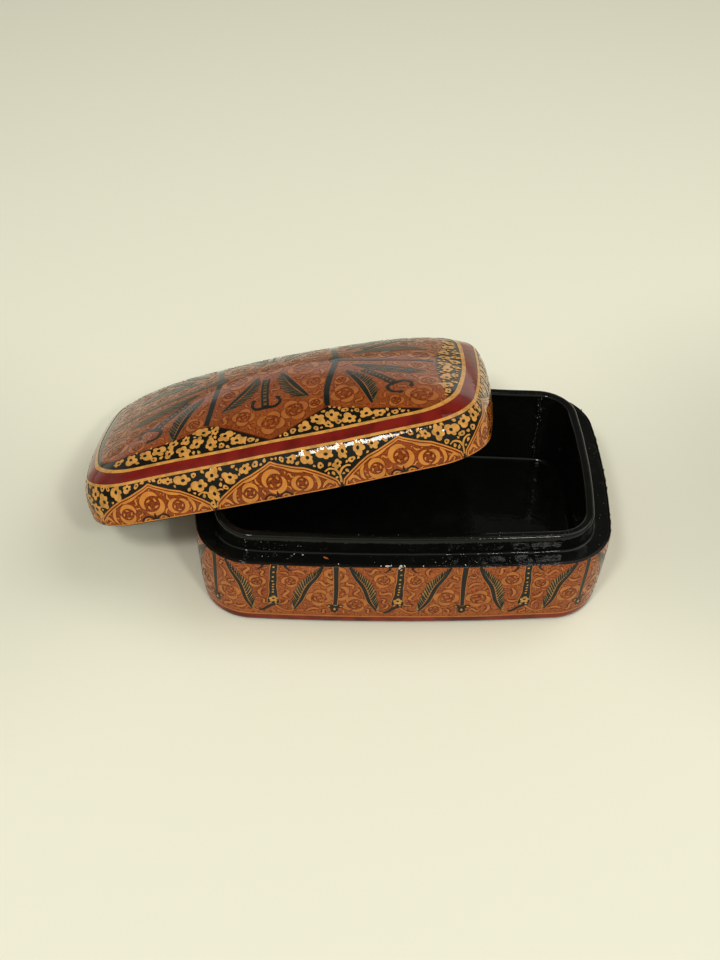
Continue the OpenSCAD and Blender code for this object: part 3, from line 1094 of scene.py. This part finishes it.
def feathers(painting, spines, side, width, pale, band="tan", half=0.6):
    """Feathered leaves along spines (k, m, 2): a dark spine, a thin pale line beside it, and a band with
    slanting hatches, whose outer edge is cut in steps. side is 1 when the band lies left of the spine
    and -1 when right."""
    t = np.linspace(0, 1, 40)
    line = along(spines, t)
    across = square(line) * side
    swell = np.sin(math.pi * np.clip(t**1.2 * 0.95 + 0.02, 0, 1))[:, None] ** 0.6
    steps = (0.82 + 0.3 * (6 * t % 1))[:, None]
    taper = np.sin(math.pi * (0.05 + 0.89 * t)) ** 0.5
    painting.line(pale, line, (half + 0.22) * taper)
    painting.line("stem", line, half * taper)
    painting.line(pale, line + across * (half + 0.16) * swell, 0.13)
    inner = line + across * (half + 0.3) * swell
    outer = line + across * (half + 0.35 + width * steps) * swell
    edges = (inner, outer) if side > 0 else (outer, inner)
    painting.strip(band, *edges)
    length = np.linalg.norm(np.diff(line[0], axis=0), axis=1).sum()
    pitch, slant = 1.0, 0.09
    places = np.linspace(0.06, 0.94, max(int(length / pitch), 3))
    start, end = along(inner, places), along(outer, places - slant)
    end = end + 0.08 * (end - start)
    hatches = np.stack([start, (start + end) / 2, end], 2).reshape(-1, 3, 2)
    painting.line("stem", hatches, [0.26, 0.24, 0.14])
    painting.keep(line[:, ::2], half + 0.25)
    painting.keep((inner + outer)[:, ::2] / 2, width / 2 + 0.35)


def polar(angle, reach):
    return np.stack([reach * np.cos(angle), reach * np.sin(angle)], -1)


def wreaths(painting, centres, radii, turn, hand, count, paint, fat=0.2):
    """Wreaths of crescent leaves, each thickest in its middle with its tail curled in, round scribbled
    stars."""
    r, turn, hand = (np.asarray(value, float).reshape(-1, 1) for value in (radii, turn, hand))
    t = np.linspace(0, 1, 12)
    for j in range(count):
        angle = turn + hand * 2 * math.pi / count * (j + 0.9 * t)
        reach = r * (0.78 + 0.1 * np.sin(math.pi * t) - 0.08 * t**3)
        half = np.minimum(fat * r, 0.85) * np.sin(math.pi * (0.05 + 0.9 * t)) ** 0.8
        painting.strap(true_offsets(painting.chart, centres, polar(angle, reach)), half, paint, 0.16)
    t = np.arange(28) * math.pi / 14
    for share, least in ((0.54, 1.2), (0.28, 1.9)):
        some = r[:, 0] > least
        a = turn[some]
        reach = share * r[some] * (1 + 0.22 * np.sin(5 * t + a) + 0.18 * np.sin(8 * t + 3 * a))
        star = true_offsets(painting.chart, centres[some], polar(t + 0 * a, reach))
        painting.line("red", star, 0.11, closed=True)
    some = r[:, 0] > 2.2
    for j in range(4):
        a = turn[some] + math.pi / 2 * j
        blots = true_offsets(painting.chart, centres[some], polar(a, 0.4 * r[some]))[:, 0]
        painting.motif(paint, blots, leaf_shape(0.4 * r[some], 0.17 * r[some], a + 1.2))


def scrolls(painting, centres, radii, rng, paint="petal"):
    """Scrollwork in round places: wreaths in the large ones, then curved leaves, and drops in the
    least."""
    turn, hand = rng.uniform(0, 2 * math.pi, len(radii)), rng.choice([-1, 1], len(radii))
    for low, high, count in ((2.3, 3.4, 3), (3.4, 9, 4)):
        some = (radii >= low) & (radii < high)
        if some.any():
            wreaths(painting, centres[some], radii[some], turn[some], hand[some], count, paint)
    t = np.linspace(-1, 1, 12)
    some = (radii > 0.55) & (radii < 2.3)
    r, a, h = (value[some, None] for value in (radii, turn, hand))
    bend = np.where(rng.random(r.shape) < 0.6, np.sin(math.pi * t), np.cos(1.5 * t) - 0.6)
    local = turned(0.98 * r * t, 0.42 * h * r * bend, a)
    lines = true_offsets(painting.chart, centres[some], local)
    swell = np.sin(math.pi * (0.06 + 0.44 * (t + 1))) ** 0.7
    painting.strap(lines, np.minimum(0.27 * r, 0.5) * swell, paint, 0.15)
    wide = r[:, 0] > 1.2
    bent, places = local[wide], centres[some][wide]
    gap = np.minimum(0.62 * r[wide], 0.85)[..., None] * square(bent)
    for side in (-1, 1):
        painting.line("red", true_offsets(painting.chart, places, 0.8 * (bent + side * gap)), 0.12)
    least = (radii <= 0.55) & (rng.random(len(radii)) < 0.6)
    painting.motif(paint, centres[least], leaf_shape(1.8 * radii[least], 0.8 * radii[least], turn[least]))


def florets(painting, centres, radii, rng):
    """Gold florets on black: large ones with four or five petals, smaller ones as rings, the least as
    drops."""
    turn = rng.uniform(0, 2 * math.pi, len(radii))
    squeeze = rng.uniform(0.78, 1.0, len(radii))
    petals = rng.choice([4, 5, 5], len(radii))
    large, least = radii > 1.25, radii < 0.8
    middle = ~large & ~least
    for count in (4, 5):
        some = large & (petals == count)
        painting.motif("gold", centres[some],
                       petalled(1.08 * radii[some], count, 0.42, 30, turn[some], squeeze[some], 1.5))
    painting.motif("gold", centres[middle], petalled(radii[middle], 3, 0.25, 18, turn[middle], 0.82, 1.0))
    eyes = large | (middle & (radii > 0.85))
    painting.motif("dot", centres[eyes], petalled(0.3 * radii[eyes], 4, 0.1, 10, turn[eyes], 0.85, 0.8))
    painting.motif("gold", centres[least], leaf_shape(2.3 * radii[least], 1.5 * radii[least], turn[least]))


def repeated(box, line, sides=(1,)):
    """Copies (k, m, 2) of a line round the plan, once for every repeat and side, where -1 mirrors it.
    The line's first number counts from the middle of a repeat."""
    middles = box.front + box.pattern_start + np.arange(REPEATS) * box.round / REPEATS
    line = np.asarray(line, float)
    return np.array([line * [side, 1] + [middle, 0] for side in sides for middle in middles])


def by_hand(chart, box, size):
    """The same chart with its pattern drawn a little off, by slow waves that close round the plan."""
    def drawn(w, z):
        turn = 2 * math.pi * w / box.round
        return chart(w + size * (np.sin(5 * turn + 1) + 0.7 * np.sin(13 * turn + 4 + z / 4)),
                     z + 0.4 * size * (np.sin(3 * turn + 2) + 0.5 * np.sin(11 * turn)))
    return drawn


class BOX_OT_base_ornament(bpy.types.Operator):
    """Paints the leaves, spears, stems and scrolls on the walls of the base"""

    bl_idname = "box.base_ornament"
    bl_label = "Base ornament"

    def execute(self, context):
        box, rng = Box(), np.random.default_rng(11)
        half_period = box.round / REPEATS / 2
        p = Painting(by_hand(box.base_wall, box, 0.25))
        both = (1, -1)
        # Leaves on both sides of the spear
        spine = curve([(-14.9, 25.9), (-12.9, 21.6), (-10.4, 17), (-8.6, 10.5), (-6.4, 6.0)], 40)
        feathers(p, repeated(box, spine), 1, 2.0, "petal")
        feathers(p, repeated(box, spine, (-1,)), -1, 2.0, "petal")
        # Spear with its gold dots, floret and foot
        heights = np.array([26.2, 23, 20, 17, 14, 12, 10.6, 9.4, 8.6])
        spear = np.stack([0.1 * np.sin(heights), heights], -1)
        wide = np.array([1.0, 1.0, 1.05, 1.1, 1.2, 1.4, 1.7, 1.85, 1.5])
        p.line("petal", repeated(box, spear), wide + 0.22)
        p.line("stem", repeated(box, spear), wide, room=1.7)
        for z in (25.2, 23.0, 20.9, 19.0, 17.6, 16.4, 15.2, 14.0):
            dot = repeated(box, [(rng.uniform(-0.1, 0.1), z)])[:, 0]
            p.motif("gold", dot, petalled(0.36, 4, 0.15, 12, rng.uniform(0, 1), 0.85))
        floret = repeated(box, [(0, 10.9)])[:, 0]
        p.motif("gold", floret, petalled(1.6, 5, 0.4, 24, 0.3, 0.9, 0.8))
        p.motif("dot", floret, disc(0.4, 8))
        for v in (-0.9, 0.7):
            p.motif("gold", repeated(box, [(v, 8.9)])[:, 0], leaf_shape(1.0, 0.6, math.pi / 2 + v))
        # Pale loop that ties the leaves' feet to the spear
        loop = curve([(-6.6, 6.2), (-5.2, 5.3), (-3.4, 5.4), (-1.8, 6.6), (-0.6, 7.8)], 16)
        p.strap(repeated(box, loop, both), 0.3, "petal")
        tie = curve([(-4.4, 5.2), (-3.0, 5.6), (-1.6, 7.0), (0.4, 8.2), (1.6, 8.0)], 16)
        p.line("stem", repeated(box, tie), 0.5 * np.sin(np.linspace(0.35, 2.9, 16)))
        p.keep(repeated(box, loop, both), 0.7)
        # Hooks under the ledge
        hook = curve([(3.3, 26.0), (3.5, 25.2), (4.4, 24.2), (5.0, 24.0)], 10)
        p.line("stem", repeated(box, hook, both), np.linspace(0.45, 0.12, 10), room=0.4)
        # Stem with its trefoil foot
        stem = np.stack([np.full(14, half_period), np.linspace(26.2, 8.8, 14)], -1)
        p.line("petal", repeated(box, stem), np.linspace(1.0, 0.8, 14))
        p.line("stem", repeated(box, stem), np.linspace(0.78, 0.58, 14), room=1.1)
        for v, z, long, wide, turn in (
                (-1.5, 8.2, 2.7, 1.7, 2.8), (1.5, 8.2, 2.7, 1.7, 0.35), (0, 6.8, 3.6, 2.4, 1.57)):
            foot = repeated(box, [(half_period + v, z)])[:, 0]
            p.motif("stem", foot, leaf_shape(long, wide, turn))
            p.motif("gold", foot + [0.2 * v, 0], leaf_shape(0.36 * long, 0.34 * wide, turn))
            p.keep(foot[:, None], 1.3)
        # Pale line above the foot line
        w = box.around(PLAN_POINTS, 0)
        z = 3.35 + 0.1 * wobble(box.at(w, 0, 0), 20, 4)
        p.ring("petal", w, z - 0.35, z + 0.3)
        p.ring("red", w, z - 0.62, z - 0.35)
        # Scrolls in all that is left of each repeat
        middle = box.front + box.pattern_start
        local = grid_of(np.arange(-half_period, half_period, 0.4), np.arange(4.4, 26, 0.4)) + [middle, 0]
        for k in range(REPEATS):
            grid = local + [k * 2 * half_period, 0]
            grid += rng.uniform(-0.15, 0.15, grid.shape)
            room = np.minimum(grid[:, 1] - 4.2, 26.0 - grid[:, 1])
            room = np.minimum(room, p.room_near(grid, grid[0, 0], half_period, 2 * half_period))
            taken, radii = pack(grid, room, (3.7, 3.1, 2.6, 2.1, 1.7, 1.3, 1.0, 0.75, 0.58, 0.42), 0.08)
            scrolls(p, grid[taken], radii, rng)
        p.pieces("base", "base")
        return {"FINISHED"}


def medallion_top(u):
    """Height of a medallion's edge at the distance u from its middle."""
    across = (0, 1.5, 4, 6.2, 6.9, 9.5, 12.5, 15.5, 17.6, 18.3, 18.4)
    heights = (11.7, 10.9, 9.95, 9.1, 8.9, 8.2, 6.6, 4.6, 2.9, 2.1, 0.2)
    return np.interp(np.abs(u), across, heights)


def field_edge():
    """The edge of the lid's painted field in plan, anticlockwise from the middle of its right end."""
    back = np.array([
        (49, 3), (49.6, 12), (50.6, 22), (52, 31), (51.2, 32.6), (47, 32.7), (40, 31.9), (30, 30), (22, 28),
        (17, 26.4), (12.5, 28.6), (7, 31.2), (2, 33.4), (-1.5, 34.4), (-5, 33.0), (-10, 30.4), (-15, 27.6),
        (-20, 25.2), (-25, 26.6), (-30, 27.7), (-40, 28.4), (-49, 27.8), (-53.5, 25.6), (-55.2, 21),
        (-55.6, 12), (-55.8, 3)])
    knots = np.concatenate([back, back[::-1] * [1, -1]])
    steps = np.linspace(0, 1, 13)[:-1, None]
    points = [a + (b - a) * steps for a, b in zip(knots, np.roll(knots, -1, 0))]
    return np.concatenate(points)


def inside(points, edge):
    """Whether points (n, 2) lie inside a closed line, by counting the crossings of a ray to the right."""
    x, y = points[:, 0], points[:, 1]
    hits = np.zeros(len(points), int)
    for (x0, y0), (x1, y1) in zip(edge, np.roll(edge, -1, 0)):
        if y0 != y1:
            hits += ((y0 > y) != (y1 > y)) & (x < x0 + (y - y0) * (x1 - x0) / (y1 - y0))
    return hits % 2 == 1


class BOX_OT_lid_band(bpy.types.Operator):
    """Paints the medallions, the florets and the crimson band round the lid"""

    bl_idname = "box.lid_band"
    bl_label = "Lid band"

    def execute(self, context):
        box, rng = Box(), np.random.default_rng(23)
        half_period = box.round / REPEATS / 2
        p = Painting(by_hand(box.lid_side, box, 0.22))
        both = (1, -1)
        u = np.linspace(-18.35, 18.35, 74)
        low, high = np.stack([u, 0 * u + 0.12], -1), np.stack([u, medallion_top(u)], -1)
        p.strip("medallion", repeated(box, low), repeated(box, high), inner=12)
        # Pale edges with fine red lines between them
        for share, drop, paint, wide in ((1, 0.22, "strap", 0.22), (0.985, 0.58, "red", 0.14),
                                         (0.965, 0.92, "strap", 0.2), (0.945, 1.22, "red", 0.12)):
            edge = np.stack([u * share, np.maximum(medallion_top(u) - drop, 0.2)], -1)
            p.line(paint, repeated(box, edge), wide)
        p.keep(repeated(box, edge[::2]), 0.15)
        # Wreaths: a large one under the peak and one in each side lobe, and leaves in the points
        for v, z, size, turn in ((0, 5.6, 3.75, 0.25), (7.9, 3.6, 3.0, 0.5), (-7.9, 3.6, 3.0, 0.0)):
            middles = repeated(box, [(v, z)])[:, 0]
            spin = math.pi * turn + 0.25 * np.sin(7 * np.arange(REPEATS))
            wreaths(p, middles, np.full(REPEATS, size), spin, np.ones(REPEATS), 2, "strap", 0.225)
            p.keep(middles[:, None], size)
        for knots, wide in (([(4.0, 8.8), (5.4, 8.2), (7.0, 7.6), (8.8, 7.0)], 0.42),
                            ([(11.4, 5.6), (12.4, 4.2), (12.6, 2.2), (11.8, 0.9)], 0.55),
                            ([(13.4, 1.0), (14.6, 2.4), (15.6, 2.6), (16.8, 1.4)], 0.5)):
            leaf = curve(knots, 22)
            swell = wide * np.sin(math.pi * np.linspace(0.1, 0.93, 22))
            p.strap(repeated(box, leaf, both), swell, rim=0.2)
            p.keep(repeated(box, leaf, both), 0.8 * wide)
        # Dark arcs at the rim, each over a pale drop
        arc = curve([(0.6, 0.42), (0.9, 1.2), (2.3, 1.85), (3.7, 1.2), (4.1, 0.42)], 16)
        p.line("black", repeated(box, arc, both), 0.25)
        p.motif("strap", repeated(box, [(2.35, 0.85)], both)[:, 0], leaf_shape(2.2, 1.1, 0.0))
        p.motif("black", repeated(box, [(2.35, 0.8)], both)[:, 0], leaf_shape(1.3, 0.4, 0.1))
        p.line("black", repeated(box, [(0, 0.5), (0, 1.4), (0, 2.6)]), [0.45, 0.4, 0.15])
        p.keep(repeated(box, arc, both), 0.3)
        # Pale line worn along the rim
        line = np.stack([np.linspace(-17.4, 17.4, 60), np.full(60, 0.32)], -1)
        p.line("strap", repeated(box, line), 0.16)
        # Gold sprig between two medallions
        for sprig in ([(0, 1.6), (0.05, 3.2), (0, 4.7)], [(0, 4.3), (-0.9, 5.8), (-2.6, 6.5), (-4.0, 5.9)],
                      [(0, 4.3), (0.9, 5.8), (2.4, 6.5), (3.6, 6.3)]):
            line = curve(np.array(sprig) + [half_period, 0], 12)
            p.line("gold", repeated(box, line), np.linspace(0.36, 0.22, 12), room=0.5)
        # Crimson band between two gold rules
        w = box.around(PLAN_POINTS, 0)
        turn = np.cos(2 * math.pi * w / box.round)
        base_line = 13.3 - np.where(turn > 0, 0.5, 1.4) * turn**2
        p.ring("crimson", w, base_line + 0.1, base_line + 2.8, 7)
        p.ring("gold", w, base_line - 0.36, base_line + 0.34)
        p.ring("gold", w, base_line + 2.6, base_line + 3.2)
        # Florets on the black below the band
        grid = grid_of(np.arange(0, box.round, 0.45), np.arange(2.2, 12.8, 0.45))
        grid += rng.uniform(-0.15, 0.15, grid.shape)
        places = np.mod(grid[:, 0] - box.front - box.pattern_start + half_period, 2 * half_period)
        over = grid[:, 1] - medallion_top(places - half_period)
        grid, over = grid[over > 0.6], over[over > 0.6]
        room = np.minimum(0.75 * over - 0.15, 12.85 - grid[:, 1])
        keep_y = np.concatenate(p.places[-3:]), np.concatenate(p.rooms[-3:])
        room = np.minimum(room, nearest(grid, *keep_y))
        sizes = (2.1, 1.9, 1.65, 1.4, 1.1, 0.9, 0.65, 0.45)
        taken, radii = pack(grid, room, sizes, 0.22)
        florets(p, grid[taken], radii, rng)
        # Scrolls inside the medallions
        local = grid_of(np.arange(-17.6, 17.6, 0.4), np.arange(0.6, 10.6, 0.4))
        local = local[local[:, 1] < medallion_top(local[:, 0]) - 1.2]
        middle = box.front + box.pattern_start
        for k in range(REPEATS):
            grid = local + [middle + k * 2 * half_period, 0] + rng.uniform(-0.12, 0.12, local.shape)
            room = np.minimum(p.room_near(grid, middle, k * 2 * half_period, half_period), grid[:, 1])
            taken, radii = pack(grid, room, (1.6, 1.3, 1.05, 0.85, 0.68, 0.52, 0.4), 0.08)
            scrolls(p, grid[taken], radii, rng, "strap")
        # Florets on the black above the band, outside the field
        grid = grid_of(np.arange(0, box.round, 0.45), np.arange(16.6, 23.5, 0.13))
        points = box.lid_side(grid[:, 0], grid[:, 1])
        edge = field_edge()
        free = ~inside(points[:, :2], edge)
        grid, points = grid[free], points[free]
        edge = box.top(*edge.T)
        rule = box.lid_side(w, base_line + 3.12)
        room = np.minimum(nearest(points, edge[::2]), nearest(points, rule)) - 0.2
        taken, radii = pack(points, room, sizes, 0.22)
        florets(p, grid[taken], radii, rng)
        p.pieces("lid_band", "lid", box)
        return {"FINISHED"}


class BOX_OT_lid_top(bpy.types.Operator):
    """Paints the field on the lid's dome, with its stems, leaves and scrolls"""

    bl_idname = "box.lid_top"
    bl_label = "Lid top"

    def execute(self, context):
        box, rng = Box(), np.random.default_rng(37)
        p = Painting(lambda x, y: box.top(x + 0.4 * np.sin(x / 9 + y / 7),
                                          y + 0.3 * np.sin(x / 8 - y / 11)))
        edge = field_edge()
        shares = 1 - np.linspace(0, 1, 56)[:-1] ** 1.3
        rings = edge * shares[:, None, None]
        top, under = on(p.chart, rings, LIFTS["field"]), on(p.chart, rings, -SINK)
        middle = on(p.chart, np.zeros((2, 2)), np.array([-SINK, LIFTS["field"]]))
        p.mesh("field").rings(np.concatenate([under[::-1], top]), first=middle[0], last=middle[1])
        p.line("red", edge, 0.15, closed=True, room=0.35)
        across = ((1, 1), (1, -1))
        all_round = ((1, 1), (1, -1), (-1, 1), (-1, -1))

        def spread(knots, mirrors, count=28):
            line = curve(knots, count)
            return np.array([line * mirror for mirror in mirrors])

        # Stems between the panels, and one along each end
        for knots in ([(-20.5, -24.8), (-18.9, -15), (-17.5, -6.5), (-16.8, -1.5)],
                      [(17.0, -26.2), (16.9, -20), (17.8, -10), (18.6, -1.5)]):
            p.line("stem", spread(knots, across), np.linspace(0.8, 0.9, 28), room=1.1)
        for knots in ([(20, -0.6), (30, -1.8), (48.4, -1.2)], [(-18.5, -0.6), (-30, -1.6), (-54, -1.0)]):
            p.line("stem", spread(knots, ((1, 1),)), np.linspace(0.9, 0.6, 28), room=1.0)
        # Leaves of the middle panel, their side given for the front
        def leaves(knots, side, width, mirrors):
            for mirror in mirrors:
                hand = side * mirror[0] * mirror[1]
                feathers(p, spread(knots, (mirror,), 40), hand, width, "leaf", "olive", 0.75)

        leaves([(-4.6, -5.8), (-8, -12), (-15.8, -20.8)], 1, 2.8, across)
        leaves([(3.0, -5.8), (7, -14), (11.4, -21)], -1, 2.9, across)
        # Leaves of the corner panels
        leaves([(22, -9.8), (26.4, -18), (30.2, -28)], 1, 2.7, all_round)
        leaves([(24.5, -5.2), (35, -7.4), (46, -10.4)], -1, 3.0, all_round)
        # Spears with their hooks
        for knots, hooks, mirrors in (
                ([(-1.6, -8), (-2.0, -15), (-2.3, -23.4)],
                 ([(-2.2, -23), (-5, -23.2), (-6.3, -21.6), (-5.8, -19.4)],
                  [(-2.2, -23), (0.9, -23.1), (2.6, -21.2), (2.0, -19.4)]), across),
                ([(27, -9.4), (31.6, -14), (36.4, -19.6)],
                 ([(36.4, -19.6), (34.4, -21.6), (35.6, -24.2), (38.2, -24.8)],
                  [(36.4, -19.6), (39.2, -18.2), (41.3, -19.4), (41.2, -21.4)]), all_round)):
            lines = spread(knots, mirrors)
            p.line("olive", lines, 0.7)
            side = square(lines)
            for offset in (-0.85, 0.85):
                p.line("stem", lines + offset * side, 0.36)
            for place in along(lines, np.linspace(0.06, 0.94, 9)).transpose(1, 0, 2):
                p.motif("dot", place, petalled(0.5, 3, 0.2, 10, rng.uniform(0, 3), 0.8))
            p.keep(lines, 1.5)
            for hook in hooks:
                lines = spread(hook, mirrors, 16)
                p.line("stem", lines, np.linspace(0.62, 0.42, 16), room=0.8)
                p.motif("stem", lines[:, -1], petalled(0.85, 3, 0.2, 16, 0.3, 0.85))
        # Rosettes where the stems meet
        hubs = np.array([(18.6, 0), (-16.8, 0)])
        p.motif("stem", hubs, petalled(2.6, 8, 0.4, 40))
        p.motif("olive", hubs, petalled(1.0, 6, 0.3, 24))
        p.keep(hubs, 2.7)
        grid = grid_of(np.arange(-56, 53, 0.55), np.arange(-34, 34, 0.55))
        grid += rng.uniform(-0.2, 0.2, grid.shape)
        grid = grid[inside(grid, edge)]
        room = np.minimum(9.0, nearest(grid, np.concatenate(p.places), np.concatenate(p.rooms)))
        taken, radii = pack(grid, room, (4.8, 4.1, 3.4, 2.8, 2.3, 1.9, 1.5, 1.15, 0.85, 0.6), 0.08)
        scrolls(p, grid[taken], radii, rng, "leaf")
        p.pieces("lid_top", "lid", box)
        return {"FINISHED"}


class BOX_OT_wear(bpy.types.Operator):
    """Adds chips, specks and drips to the black lacquer"""

    bl_idname = "box.wear"
    bl_label = "Wear of the lacquer"

    def execute(self, context):
        box, ground, rng = Box(), grounds(), np.random.default_rng(51)
        paints = context.scene.box_paints

        def ledge(w, d):
            return box.at(w, d, box.base_h - 0.12 - 0.5 * np.clip(0.5 - d, 0, 1) ** 2)

        def collar_front(w, z):
            return box.at(w, box.ledge_w, z)

        def collar_top(w, d):
            return box.at(w, d, box.collar_top - 0.1 - 0.35 * np.clip(box.ledge_w + 0.7 - d, 0, 1) ** 2)

        def inner_wall(w, z):
            return box.at(-w, box.collar_in, z)

        # Chips down to the white ground on the ledge: place along the front, distance in, size
        mesh, ochre = Mesh(), Mesh()
        for s, d, size in (
                (-6.2, 0.55, 0.75), (-5.0, 0.7, 0.4), (-2.2, 0.5, 0.85), (-1.0, 0.7, 0.45),
                (-8.0, 0.6, 0.3), (-20.5, 1.2, 0.28), (4.5, 0.6, 0.3), (-31, 4.6, 0.34),
                (-33.5, 4.9, 0.3), (17, 0.9, 0.3)):
            spots(mesh, ledge, [(box.front + s, d)], petalled(size, 3, 0.3, 14, s, 0.5, 1.3), 0.05)
        for s, d, size, turn in ((-24.2, 3.6, 0.95, -0.5), (-6.0, 0.25, 0.5, 0.1), (-1.6, 0.2, 0.5, 0.0)):
            spots(ochre, ledge, [(box.front + s, d)], leaf_shape(2 * size, 0.7 * size, turn), 0.07)
        new_piece("ledge_chips", mesh, "base", [ground["gesso"]])
        bare = painted("bare_ochre", paints.petal, paints.rust)
        new_piece("ledge_bare_chips", ochre, "base", [bare])
        # Dust specks, which are partly painted glints, and lumps: chart, where from and to, how many,
        # greatest size
        dust, lump = Mesh(), Mesh()
        for chart, (w0, w1), (v0, v1), count, size in (
                (ledge, (-52, -30), (2.5, 5.4), 34, 0.24),
                (collar_front, (-52, -30), (26.9, 30.5), 36, 0.22),
                (ledge, (-30, 40), (0.3, 5.2), 40, 0.16), (ledge, (8, 36), (0.3, 3.0), 26, 0.22),
                (collar_top, (-62, 62), (6.2, 8.3), 22, 0.16), (collar_top, (38, 50), (5.9, 7.5), 14, 0.24),
                (collar_front, (-30, 60), (27, 31), 18, 0.14), (ledge, (60, 110), (0.6, 5), 20, 0.14)):
            places = np.stack([box.front + rng.uniform(w0, w1, count), rng.uniform(v0, v1, count)], -1)
            radii = size * rng.uniform(0.35, 1, count) ** 1.5
            shapes = petalled(radii, 3, 0.3, 8, rng.uniform(0, 6, count), rng.uniform(0.5, 1, count), 1.0)
            some = rng.random(count) < 0.45
            # Flat grey specks: dust, and also painted glints where the lacquer catches the light
            spots(dust, chart, places[some], shapes[some], 0.03)
            lumps(lump, chart, places[~some], 2.0 * shapes[~some], 0.9 * radii[~some])
        grey = plain("dust", paints.dust, dark(paints.dust, 0.5))
        new_piece("lacquer_dust", dust, "base", [grey])
        # Drips of thick lacquer down the inside beside the back right corner
        seam = box.end_len + box.corner_len * 0.95
        z = np.concatenate([rng.uniform(9, 31.5, 46), np.linspace(7, 31, 20)])
        places = np.stack([-seam + 0.55 * rng.normal(size=len(z)) + 0.5 * np.sin(z / 3), z], -1)
        radii = rng.uniform(0.35, 1.05, len(z))
        drips = petalled(radii, 3, 0.2, 14, rng.uniform(0, 6, len(z)), 0.7, 1.0)
        lumps(lump, inner_wall, places, drips, 1.15 * radii)
        new_piece("lacquer_lumps", lump, "base", [ground["lacquer"]])
        return {"FINISHED"}


class BOX_OT_stage(bpy.types.Operator):
    """Builds the table, the lamps and the camera"""

    bl_idname = "box.stage"
    bl_label = "Stage"

    def execute(self, context):
        setup = context.scene.box_stage
        half, just_under = setup.floor_size / 2, -0.0002
        data = bpy.data.meshes.new("table")
        corners = [(x * half, y * half, just_under) for x, y in ((-1, -1), (1, -1), (1, 1), (-1, 1))]
        data.from_pydata(corners, [], [(0, 1, 2, 3)])
        nodes = Nodes(bpy.data.materials.new("table_cloth"))
        nodes.bump(nodes.noise(30, 3), 0.3, 0.3)
        # Painted shade: the cloth is painted darker away from the lamps, and painted shadows lie in two
        # soft dark patches beside the box
        cloth_painted_shade = nodes.mix(nodes.step(nodes.away((0.04, -0.1, 0)), 0.14, 0.8),
                          setup.floor_colour, dark(setup.floor_colour, 0.58))
        for place, part in (((0.15, 0.02, 0), 0.24), ((-0.18, 0.0, 0), 0.16)):
            # Painted shadow: a soft dark patch on the cloth beside the box
            near = nodes.math("MULTIPLY", nodes.step(nodes.away(place), 0.13, 0.02), part)
            cloth_painted_shade = nodes.mix(near, cloth_painted_shade, (0, 0, 0))
        data.materials.append(nodes.finish(cloth_painted_shade, 0.9, coat=0.0, specular=0.1))
        table = bpy.data.objects.new("table", data)
        objects = [table]
        for name, towards, size, power in (
                ("soft_lamp", (0.5, 0.15, 0.85), 1.6, setup.soft_lamp),
                ("left_lamp", (-0.265, -0.57, 0.78), 0.27, 1.6 * setup.small_lamp),
                ("right_lamp", (0.235, -0.67, 0.70), 0.2, setup.small_lamp)):
            light = bpy.data.lights.new(name, "AREA")
            light.shape, light.size, light.energy, light.color = "SQUARE", size, power, (1, 0.985, 0.95)
            lamp = bpy.data.objects.new(name, light)
            lamp.location = Vector(towards) * setup.lamp_far
            lamp.rotation_euler = (-lamp.location).to_track_quat("-Z", "Y").to_euler()
            objects.append(lamp)
        lens = bpy.data.cameras.new("camera")
        lens.lens, lens.sensor_width, lens.sensor_fit = setup.lens, 36, "AUTO"
        camera = bpy.data.objects.new("camera", lens)
        camera.location, camera.rotation_euler = setup.place, setup.aim
        objects.append(camera)
        for item in objects:
            context.scene.collection.objects.link(item)
        context.scene.camera = camera
        world = bpy.data.worlds.new("room")
        room = Nodes(world, "Generated")
        rise = room.towards((0, 0, 1), 0.05, 0.8)
        light = room.math("MULTIPLY_ADD", rise, setup.ceiling - setup.horizon, setup.horizon)
        overhead = room.towards((0, 0.35, 0.937), 0.6, 0.86)
        light = room.math("MULTIPLY", light, room.math("MULTIPLY_ADD", overhead, -setup.hatch, 1.0))
        behind = room.math("MULTIPLY", room.towards((0, 1, 0), 0.3, 0.8),
                           room.towards((0, 0, -1), -0.3, -0.1))
        room.put(room.shader.inputs["Color"], (1.0, 0.985, 0.87))
        room.put(room.shader.inputs["Strength"], room.math("MULTIPLY_ADD", behind, setup.glow, light))
        context.scene.world = world
        context.scene.view_settings.view_transform = "Standard"
        return {"FINISHED"}


STEPS = (BOX_OT_base_shell, BOX_OT_base_skin, BOX_OT_collar, BOX_OT_floor_lining, BOX_OT_lid_shells,
         BOX_OT_lid_skin, BOX_OT_base_ornament, BOX_OT_lid_band, BOX_OT_lid_top, BOX_OT_wear, BOX_OT_stage)


class BOX_PT_panel(bpy.types.Panel):
    """Lists the sizes, the paints and the steps"""

    bl_idname = "BOX_PT_panel"
    bl_label = "Papier mache box"
    bl_space_type = "VIEW_3D"
    bl_region_type = "UI"
    bl_category = "Box"

    def draw(self, context):
        for step in STEPS:
            self.layout.operator(step.bl_idname)
        for name, group in (("Sizes", "box_sizes"), ("Paints", "box_paints"), ("Stage", "box_stage")):
            column = self.layout.column(heading=name)
            settings = getattr(context.scene, group)
            for prop in settings.bl_rna.properties:
                if prop.identifier not in ("rna_type", "name"):
                    column.prop(settings, prop.identifier)


CLASSES = (BoxSizes, BoxPaints, StageSetup, *STEPS, BOX_PT_panel)


def register():
    for item in CLASSES:
        bpy.utils.register_class(item)
    bpy.types.Scene.box_sizes = bpy.props.PointerProperty(type=BoxSizes)
    bpy.types.Scene.box_paints = bpy.props.PointerProperty(type=BoxPaints)
    bpy.types.Scene.box_stage = bpy.props.PointerProperty(type=StageSetup)


def unregister():
    del bpy.types.Scene.box_stage
    del bpy.types.Scene.box_paints
    del bpy.types.Scene.box_sizes
    for item in reversed(CLASSES):
        bpy.utils.unregister_class(item)


def main():
    register()
    for step in STEPS:
        area, name = step.bl_idname.split(".")
        getattr(getattr(bpy.ops, area), name)()


if __name__ == "__main__":
    main()
